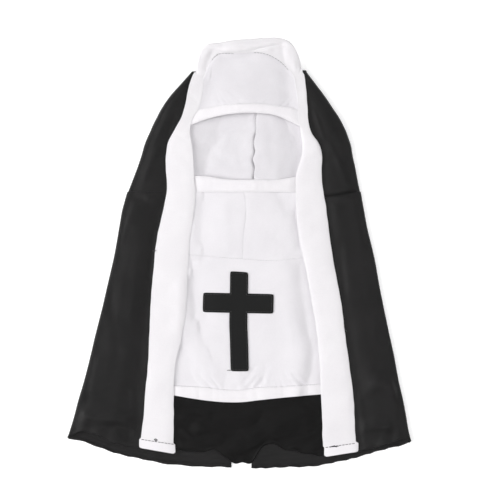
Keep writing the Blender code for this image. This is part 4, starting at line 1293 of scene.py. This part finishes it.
def bib():
    """The white panel that hangs from the neck seam, gathered at its elastic hem."""
    across, share = shares(*GRIDS["bib"])
    y = BIB_START_Y + 0 * across * share
    for _ in range(SETTLING_ROUNDS):
        left, right = (
            blend(section_x("inner_" + side, y), section_x("outer_" + side, y), BIB_TUCK_SHARE)
            for side in SIDE_SIGN
        )
        x = blend(left, right, across)
        top_y = white_edge("neck_seam", x) - CLOSED_SEAM
        low_y = white_edge("bib_casing", x) + CLOSED_SEAM / 2
        y = blend(top_y, low_y, share)
    ends = ease(np.sin(math.pi * across), 0.02, 0.2)
    drawn = BIB_GATHER * gather_wave(x, 2.0, y - low_y) * near(y - low_y, GATHER_REACH)
    relief = drawn + folds_height(WHITE_CREASES, x, y) + unevenness(x, y, "bib")
    relief = under_band(relief - BIB_SAG * near(y - low_y, BIB_SAG_REACH), x, y)
    groove = FLAT_SEAM_GROOVE * (near(y - low_y, SEAM_GROOVE_REACH) + near(top_y - y, SEAM_GROOVE_REACH))
    floor = INNER_LEVEL + BIB_CLEARANCE - PANEL_SINK * ease(y, *BIB_SINK_Y)
    z = softly_above(floor, front_height(x, y) + relief * ends - groove)
    points = np.stack((x, y, z), axis=2)
    piece, _ = cloth("bib_cloth", "bib", points, WHITE_THICKNESS, WHITE, rounding=FLAT_ROUNDING)
    declare_sheet(piece, points)


def bib_hem():
    """The elastic casing along the bottom of the bib."""
    across, share = shares(*GRIDS["bib_hem"])
    left_x = SECTIONS["inner_left"][2] - BIB_HEM_TUCK["left"]
    right_x = SECTIONS["inner_right"][2] + BIB_HEM_TUCK["right"]
    x = blend(left_x, right_x, across) + 0 * share
    top_y = white_edge("bib_casing", x) - CLOSED_SEAM / 2
    y = blend(top_y, white_edge("bib_end", x), share)
    ends = np.sin(math.pi * across) ** 0.4
    pucker = BIB_HEM_PUCKER * gather_wave(x, 2.0) * np.sin(math.pi * (0.15 + 0.7 * share)) * ends
    sewn = -0.25 * near(share - SEWN_LINES[1], SEWN_LINE_REACH) - 0.3 * near(share, 0.25)
    relief = pucker + sewn + folds_height(WHITE_CREASES, x, y) * ease(x, *BIB_HEM_FALL_X)
    lowest = INNER_LEVEL + BIB_CLEARANCE - BLACK_THICKNESS / 2
    stitch_rows = {"bib_hem_stitches": 1}
    elastic_tube(
        "bib_hem_cloth", "bib_hem", x, y, relief, share, share, 0.5, lowest, stitch_rows
    )


def run_along(upper, corners):
    """Points of a grid along straight runs from corner to corner, each its row and column."""
    runs = []
    for start, end in zip(corners, corners[1:]):
        steps = max(abs(end[0] - start[0]), abs(end[1] - start[1])) + 1
        rows, columns = (np.linspace(start[axis], end[axis], steps).round().astype(int) for axis in (0, 1))
        runs.append(upper[rows, columns])
    return np.concatenate(runs)


def cross():
    """The plain cross sewn on the bib, with a line of stitches round its edge."""
    half_width = UPRIGHT_WIDTH / 2
    half_bar = BAR_LENGTH / 2
    bar_top = -BAR_DROP
    bar_low = bar_top - BAR_HEIGHT
    columns = spaced(-half_bar, *zip((-half_width, half_width, half_bar), CROSS_COLUMNS))[None, :]
    rows = spaced(0.0, *zip((bar_top, bar_low, -CROSS_HEIGHT), CROSS_ROWS))[:, None]
    in_bar = (rows <= bar_top) & (rows >= bar_low)
    beyond = ease(np.abs(columns), half_width, half_width + BAR_SHIFT_REACH) * in_bar
    x = CROSS_MIDDLE_X + columns + smooth(CROSS_BEND, "shift", -rows) + BAR_SHIFT * beyond
    y = CROSS_TOP_Y + rows + columns * (BAR_SLOPE * in_bar + TOP_SLOPE * near(rows, TOP_SLOPE_REACH))
    corners = [(half_bar, bar_top, bar_low), (half_width, 0.0, -CROSS_HEIGHT)]
    for corner_x, corner_top, corner_low in corners:
        for corner_y, upward in ((corner_top, 1), (corner_low, -1)):
            away = np.hypot(np.abs(columns) - corner_x, rows - corner_y)
            pull = CROSS_CORNER * near(away, CROSS_CORNER_REACH)
            x = x - np.sign(columns) * pull
            y = y - upward * pull
    lift = folds_height(WHITE_CREASES, x, y) + unevenness(x, y, "bib")
    points = np.stack((x, y, front_height(x, y) + lift + APPLIQUE_RAISE), axis=2)
    middle_x = (columns[:, 1:] + columns[:, :-1]) / 2
    middle_y = (rows[1:] + rows[:-1]) / 2
    keep = (np.abs(middle_x) < half_width) | ((middle_y < bar_top) & (middle_y > bar_low))
    piece, upper = cloth("cross_cloth", "cross", points, APPLIQUE_THICKNESS, BLACK_APPLIQUE, keep)

    left, right, last = (int(column) for column in np.cumsum(CROSS_COLUMNS) + (1, -1, -1))
    high, low, bottom = (int(row) for row in np.cumsum(CROSS_ROWS) + (1, -1, -1))
    outline = [(1, right), (high, right), (high, last), (low, last), (low, right), (bottom, right)]
    outline += [(bottom, left), (low, left), (low, 1), (high, 1), (high, left), (1, left), (1, right)]
    line = stitches("cross_stitches", run_along(upper, outline), CROSS_STITCH, BLACK_THREAD)
    declare_sheet(piece, points, [line])


def leg_rows(side, low_y):
    """The rows of one leg of the band, from its turned-up end to the crown."""
    end_y = SECTIONS["y"][0]
    rows = []
    for y in (low_y,) + BAND_LEG_Y:
        slant = 1 - ease(y, end_y, BAND_LEG_Y[4])
        row = []
        for edge in ("inner_", "outer_"):
            x = float(section_x(edge + side, y))
            row += [x, y + slant * (smooth(FRONT_HEM, "y", x) - low_y)]
        rows.append((*row, 0.0, LEG_CREASE[side]))
    return rows


def band_stations():
    """The band's edges along its whole length, from its left end round the crown to its right end."""
    names = ("inner_x", "inner_y", "outer_x", "outer_y", "wrap", "crease")
    low_y = SECTIONS["y"][0] - TURNED_END_LENGTH
    crown = list(zip(*CROWN.values()))
    rows = np.array(leg_rows("left", low_y) + crown + leg_rows("right", low_y)[::-1], dtype=float)
    middle = (rows[:, 0:2] + rows[:, 2:4]) / 2
    way = np.concatenate(([0.0], np.cumsum(np.hypot(*np.diff(middle, axis=0).T))))
    stations = {"way": way, **dict(zip(names, rows.T))}
    ends = np.arange(0, BAND_END_ROWS_LENGTH, BAND_END_ROW_STEP)
    between = np.arange(BAND_END_ROWS_LENGTH, way[-1] - BAND_END_ROWS_LENGTH, BAND_ROW_STEP)
    at = np.concatenate((ends, between, way[-1] - ends[::-1]))
    fine = {name: smooth(stations, name, at)[:, None] for name in names}
    fine["end"] = np.minimum(at, way[-1] - at)[:, None]
    return fine


def fullness(share):
    """1 over most of the band's width, falling to 0 at both edges."""
    return 1 - np.abs(2 * share - 1) ** 4


def flat_band(line, share, wrap):
    """The x, y and z of the band where it lies flat."""
    roll_middle = (ROLL_TOP_PLACE + ROLL_END_PLACE) / 2
    flat_share = np.minimum(share / (1 - (1 - roll_middle) * wrap), 1)
    x = blend(line["inner_x"], line["outer_x"], flat_share)
    y = blend(line["inner_y"], line["outer_y"], flat_share)
    beside_forehead = ease(y, *SEWN_BAND_Y)
    edge_raise = blend(BAND_EDGE_RAISE, SEWN_EDGE_RAISE, beside_forehead * ease(share, 0.6, 0.3))
    ground = front_height(x, y)
    z = ground + edge_raise + (BAND_RAISE - edge_raise) * fullness(share)
    sewn_z = ground + SEWN_EDGE_RAISE + (BAND_EDGE_RAISE - SEWN_EDGE_RAISE) * ease(share, 0.05, 0.85)
    z = blend(z, sewn_z, beside_forehead)
    creases = folds_height(BAND_CREASES, x, y) + unevenness(x, y, "band")
    swell = BAND_SWELL * np.sin(math.pi * share) * (1 - beside_forehead)
    return x, y, z + np.maximum(creases, LEAST_CREASE) * fullness(share) + swell


def rolled_band(line, share, is_left):
    """The x, y and z of the band where it rolls over the crown and under."""
    inner_x, inner_y, outer_x, outer_y, _, crease = (line[name] for name in CROWN)
    width = np.hypot(outer_x - inner_x, outer_y - inner_y)
    along_x = (outer_x - inner_x) / width
    along_y = (outer_y - inner_y) / width
    left_corner = ease(outer_x, *LEFT_CORNER_X) * is_left
    right_corner = ease(crease, 0.6, 0.85)
    roll = blend(ROLL_RADIUS, TIGHT_ROLL_RADIUS, right_corner)
    roll = blend(roll, LEFT_CORNER_ROLL, left_corner)
    turn = width + LEFT_CORNER_REACH * left_corner - roll - BAND_THICKNESS / 2
    top = np.clip(share / ROLL_TOP_PLACE, 0, 1)
    angle = math.pi * np.clip((share - ROLL_TOP_PLACE) / (ROLL_END_PLACE - ROLL_TOP_PLACE), 0, 1)
    under = np.clip((share - ROLL_END_PLACE) / (1 - ROLL_END_PLACE), 0, 1)
    reach = turn * top + roll * np.sin(angle)

    top_x = inner_x + along_x * turn * top
    top_y = inner_y + along_y * turn * top
    creased = ease(crease, 0.13, 0.35) * ease(crease, 0.9, 0.75)
    dip = CREASE_DEPTH * creased * near(top - crease, CREASE_WIDTH)
    puff = np.sin(math.pi * np.clip((top - crease) / (1 - crease + 0.02), 0, 1))
    puff = ROLL_PUFF * puff * ease(crease, 0.95, 0.6) * (1 - left_corner)
    lip = ROLL_LIP * ease(crease, 0.35, 0.15) + LEFT_CORNER_LIP * left_corner
    from_seam = ease(top, 0.0, ROLL_LIP_SHARE + 0.3 * right_corner + 0.4 * left_corner)
    rise = BAND_RAISE - SEWN_EDGE_RAISE - dip + lip
    seam_height = front_height(inner_x, inner_y)
    top_height = blend(front_height(top_x, top_y), seam_height, left_corner)
    top_z = top_height + SEWN_EDGE_RAISE + rise * from_seam + puff
    relief = unevenness(top_x, top_y, "crown") + folds_height(CROWN_FOLDS, top_x, top_y)
    top_z = top_z + relief * np.sin(math.pi * top)
    crest_height = front_height(inner_x + along_x * turn, inner_y + along_y * turn)
    crest = blend(crest_height, seam_height, left_corner) + BAND_RAISE + lip
    low = BAND_THICKNESS / 2
    z = np.where(share <= ROLL_TOP_PLACE, top_z, low + (crest - low) / 2 * (1 + np.cos(angle)))

    centre_x, centre_y = CROWN_SEAM_CENTRE
    radius_x, radius_y = (radius + CROWN_SEAM_GAP for radius in CROWN_SEAM_RADII)
    bearing = np.arctan2((outer_y - centre_y) / radius_y, (outer_x - centre_x) / radius_x)
    x = blend(inner_x + along_x * reach, centre_x + radius_x * np.cos(bearing), under)
    y = blend(inner_y + along_y * reach, centre_y + radius_y * np.sin(bearing), under)
    return x, y, z


def band():
    """The long white strip, flat along both sides and rolled over the crown."""
    line = band_stations()
    share = np.linspace(0, 1, BAND_COLUMNS)[None, :]
    is_left = line["outer_x"] < line["inner_x"]
    wrap = np.clip(line["wrap"], 0, 1)
    flat = flat_band(line, share, wrap)
    rolled = rolled_band(line, share, is_left)
    x, y, z = (blend(lying, turned, wrap) for lying, turned in zip(flat, rolled))

    from_end = line["end"]
    turned_up = ease(from_end, TURNED_END_LENGTH + TURNED_END_SLOPE, TURNED_END_LENGTH - TURNED_END_SLOPE)
    trim, widening, shift = (
        np.where(is_left, value["left"], value["right"])
        for value in (BAND_TRIM, TURNED_END_WIDENING, TURNED_END_SHIFT)
    )
    corner = np.maximum(END_CORNER - from_end, 0)
    corner = END_CORNER - np.sqrt(np.maximum(END_CORNER ** 2 - corner ** 2, 0))
    spread = (widening * turned_up - corner) * (2 * share - 1) - trim * share
    edge_wave = unevenness(flat[0], flat[1], "band_edge") * (1 - wrap)
    x = x + np.sign(line["outer_x"] - line["inner_x"]) * spread + shift * turned_up + edge_wave
    z = z + TURNED_END_RAISE * turned_up
    z = z - END_SEAM_DEPTH * near(from_end - TURNED_END_LENGTH + END_SEAM_INSET, END_SEAM_REACH)
    middle_thickness = BAND_THICKNESS - SEWN_THINNING * ease(flat[1], *SEWN_BAND_Y) * (1 - wrap)
    thickness = blend(BAND_EDGE_THICKNESS, middle_thickness, fullness(share))
    thickness = thickness + TURNED_END_EXTRA * turned_up * fullness(share)
    points = np.stack((x, y, z), axis=2)
    piece, upper = cloth("band_cloth", "band", points, thickness, WHITE_BAND, rounding=BAND_ROUNDING)
    declare_sheet(piece, points, end_stitches(upper, from_end[:, 0]))


def end_stitches(upper, from_end):
    """The black stitches across the band's turned-up ends."""
    half = len(from_end) // 2
    row = int(np.argmin(np.abs(from_end[:half] - TURNED_END_LENGTH + END_STITCH_INSET)))
    rows = {"left": row, "right": len(from_end) - 1 - row}
    return [
        stitches("end_stitches_" + side, upper[row, 1:-1], END_STITCH, BLACK_THREAD)
        for side, row in rows.items()
    ]


def tube(path, radius):
    """Points and faces of a round thread along a path, thinner at both ends."""
    direction = unit(np.gradient(path, axis=0))
    sideways = unit(np.cross(direction, (0.0, 0.0, 1.0)))
    upward = np.cross(sideways, direction)
    turn = 2 * math.pi * np.arange(THREAD_SIDES) / THREAD_SIDES
    taper = np.full(len(path), 1.0)
    taper[0] = taper[-1] = THREAD_TAPER
    ring = np.cos(turn)[None, :, None] * sideways[:, None] + np.sin(turn)[None, :, None] * upward[:, None]
    points = path[:, None] + ring * radius * taper[:, None, None]
    index = np.arange(len(path) * THREAD_SIDES).reshape(len(path), THREAD_SIDES)
    beside = np.roll(index, -1, axis=1)
    faces = np.stack((index[:-1], index[1:], beside[1:], beside[:-1]), axis=2).reshape(-1, 4)
    caps = [index[0][[0, 1, 2, 3]], index[0][[0, 3, 4, 5]], index[-1][[0, 3, 2, 1]], index[-1][[0, 5, 4, 3]]]
    return points.reshape(-1, 3), np.concatenate((faces, caps))


def thread_piece(name, paths, radius, material):
    """One mesh of many short threads."""
    all_points, all_faces, count = [], [], 0
    for path in paths:
        points, faces = tube(path, radius)
        all_points.append(points)
        all_faces.append(faces + count)
        count += len(points)
    points = np.concatenate(all_points) * MILLIMETRE
    piece = mesh_object(name, points, np.concatenate(all_faces), points[:, :2], material)
    place_piece(piece, material)
    return piece


def along_line(at, way, line):
    """Points at places along a line, whose own points lie at the places in way."""
    return np.stack([np.interp(at, way, line[:, axis]) for axis in range(3)], axis=1)


def stitches(name, line, stitch, material):
    """Stitches along a line on the cloth, each a short thread that dips in at both ends."""
    length, pitch, radius = stitch
    way = np.concatenate(([0.0], np.cumsum(np.linalg.norm(np.diff(line, axis=0), axis=1))))
    share = np.linspace(0, 1, STITCH_POINTS)
    paths = []
    for start in np.arange(0.3, way[-1] - length, pitch):
        path = along_line(start + length * share, way, line)
        path[:, 2] += radius * 1.2 * np.sin(math.pi * share) - radius * 0.4
        paths.append(path)
    return thread_piece(name, paths, radius, material)


def crown_stitches():
    """The dark stitches that show in the curved seam, left and right of the roll."""
    for side, (start, end) in CROWN_STITCH_SPANS.items():
        x, y = crown_seam(np.linspace(start, end, 60), -0.5)
        line = np.stack((x, y, front_height(x, y) + WHITE_THICKNESS / 2 + 0.1), axis=1)
        stitches("crown_stitches_" + side, line, CROWN_STITCH, BLACK_THREAD)


def loose_threads():
    """Thread ends and small tufts where the photo shows them."""
    for name, route in LOOSE_ENDS.items():
        raise_by = APPLIQUE_RAISE if name == "cross_end" else BAND_RAISE + BAND_THICKNESS / 2
        x, y = np.array(route, dtype=float).T
        line = np.stack((x, y, front_height(x, y) + (raise_by + LOOSE_END_RAISE)), axis=1)
        at = np.linspace(0, len(line) - 1, 4 * len(line))
        radius = KNOT_RADIUS if name.startswith("knot") else LOOSE_END_RADIUS
        thread_piece("thread_" + name, [along_line(at, np.arange(len(line)), line)], radius, BLACK_THREAD)


def pale_floor():
    """The plain pale floor on which the garment lies."""
    bpy.ops.mesh.primitive_plane_add(size=FLOOR_SIZE, location=(0, 0, 0))
    floor = bpy.context.object
    floor.name = "floor"
    paper, shader, _ = new_material("pale_floor")
    feed(shader, {
        "Base Color": PURE_WHITE,
        "Roughness": 0.9,
        "Emission Color": PURE_WHITE,
        "Emission Strength": FLOOR_GLOW,
        "Specular IOR Level": 0.1,
    })
    floor.data.materials.append(paper)


def soft_light():
    """Soft light with its key from the left, in a pale room."""
    for name, place, size, power in LIGHTS:
        lamp = bpy.data.lights.new(name, "AREA")
        lamp.size = size
        lamp.energy = power
        holder = bpy.data.objects.new(name, lamp)
        holder.location = place
        holder.rotation_euler = (-Vector(place)).to_track_quat("-Z", "Y").to_euler()
        bpy.context.scene.collection.objects.link(holder)
    world = bpy.data.worlds.new("soft_room")
    world.use_nodes = True
    feed(world.node_tree.nodes["Background"], {"Color": PURE_WHITE, "Strength": ROOM_LIGHT})
    bpy.context.scene.world = world
    bpy.context.scene.view_settings.view_transform = "Standard"


def camera_above():
    """The camera straight above, as in the photo."""
    lens = bpy.data.cameras.new("camera")
    lens.sensor_width = SENSOR_WIDTH
    lens.lens = SENSOR_WIDTH * CAMERA_HEIGHT / PICTURE_WIDTH
    camera = bpy.data.objects.new("camera", lens)
    camera.location = [length * MILLIMETRE for length in (*PICTURE_MIDDLE, CAMERA_HEIGHT)]
    bpy.context.scene.collection.objects.link(camera)
    bpy.context.scene.camera = camera


def brow_low(x):
    """The lower edge of the casing over the face opening."""
    return white_edge("brow_low", x)


def brow_top(x):
    """The seam between that casing and the forehead."""
    return white_edge("brow_top", x) - CLOSED_SEAM / 2


def chin_low(x):
    """The seam between the neck and the casing under the face opening."""
    return CHIN_SEAM_Y + CLOSED_SEAM + 0 * x


def chin_top(x):
    """The upper edge of the casing under the face opening."""
    return white_edge("chin_top", x)


pale_floor()
soft_light()
camera_above()
for half in SIDE_SIGN:
    cape(half)
    veil(half)
    coif(half)
front_panel()
forehead()
casing("brow_casing", "forehead_binding", brow_low, brow_top, 1.0, 0.25, "low")
casing("chin_casing", "chin_binding", chin_low, chin_top, 4.0, 0.2, "high")
bib()
bib_hem()
cross()
band()
crown_stitches()
loose_threads()
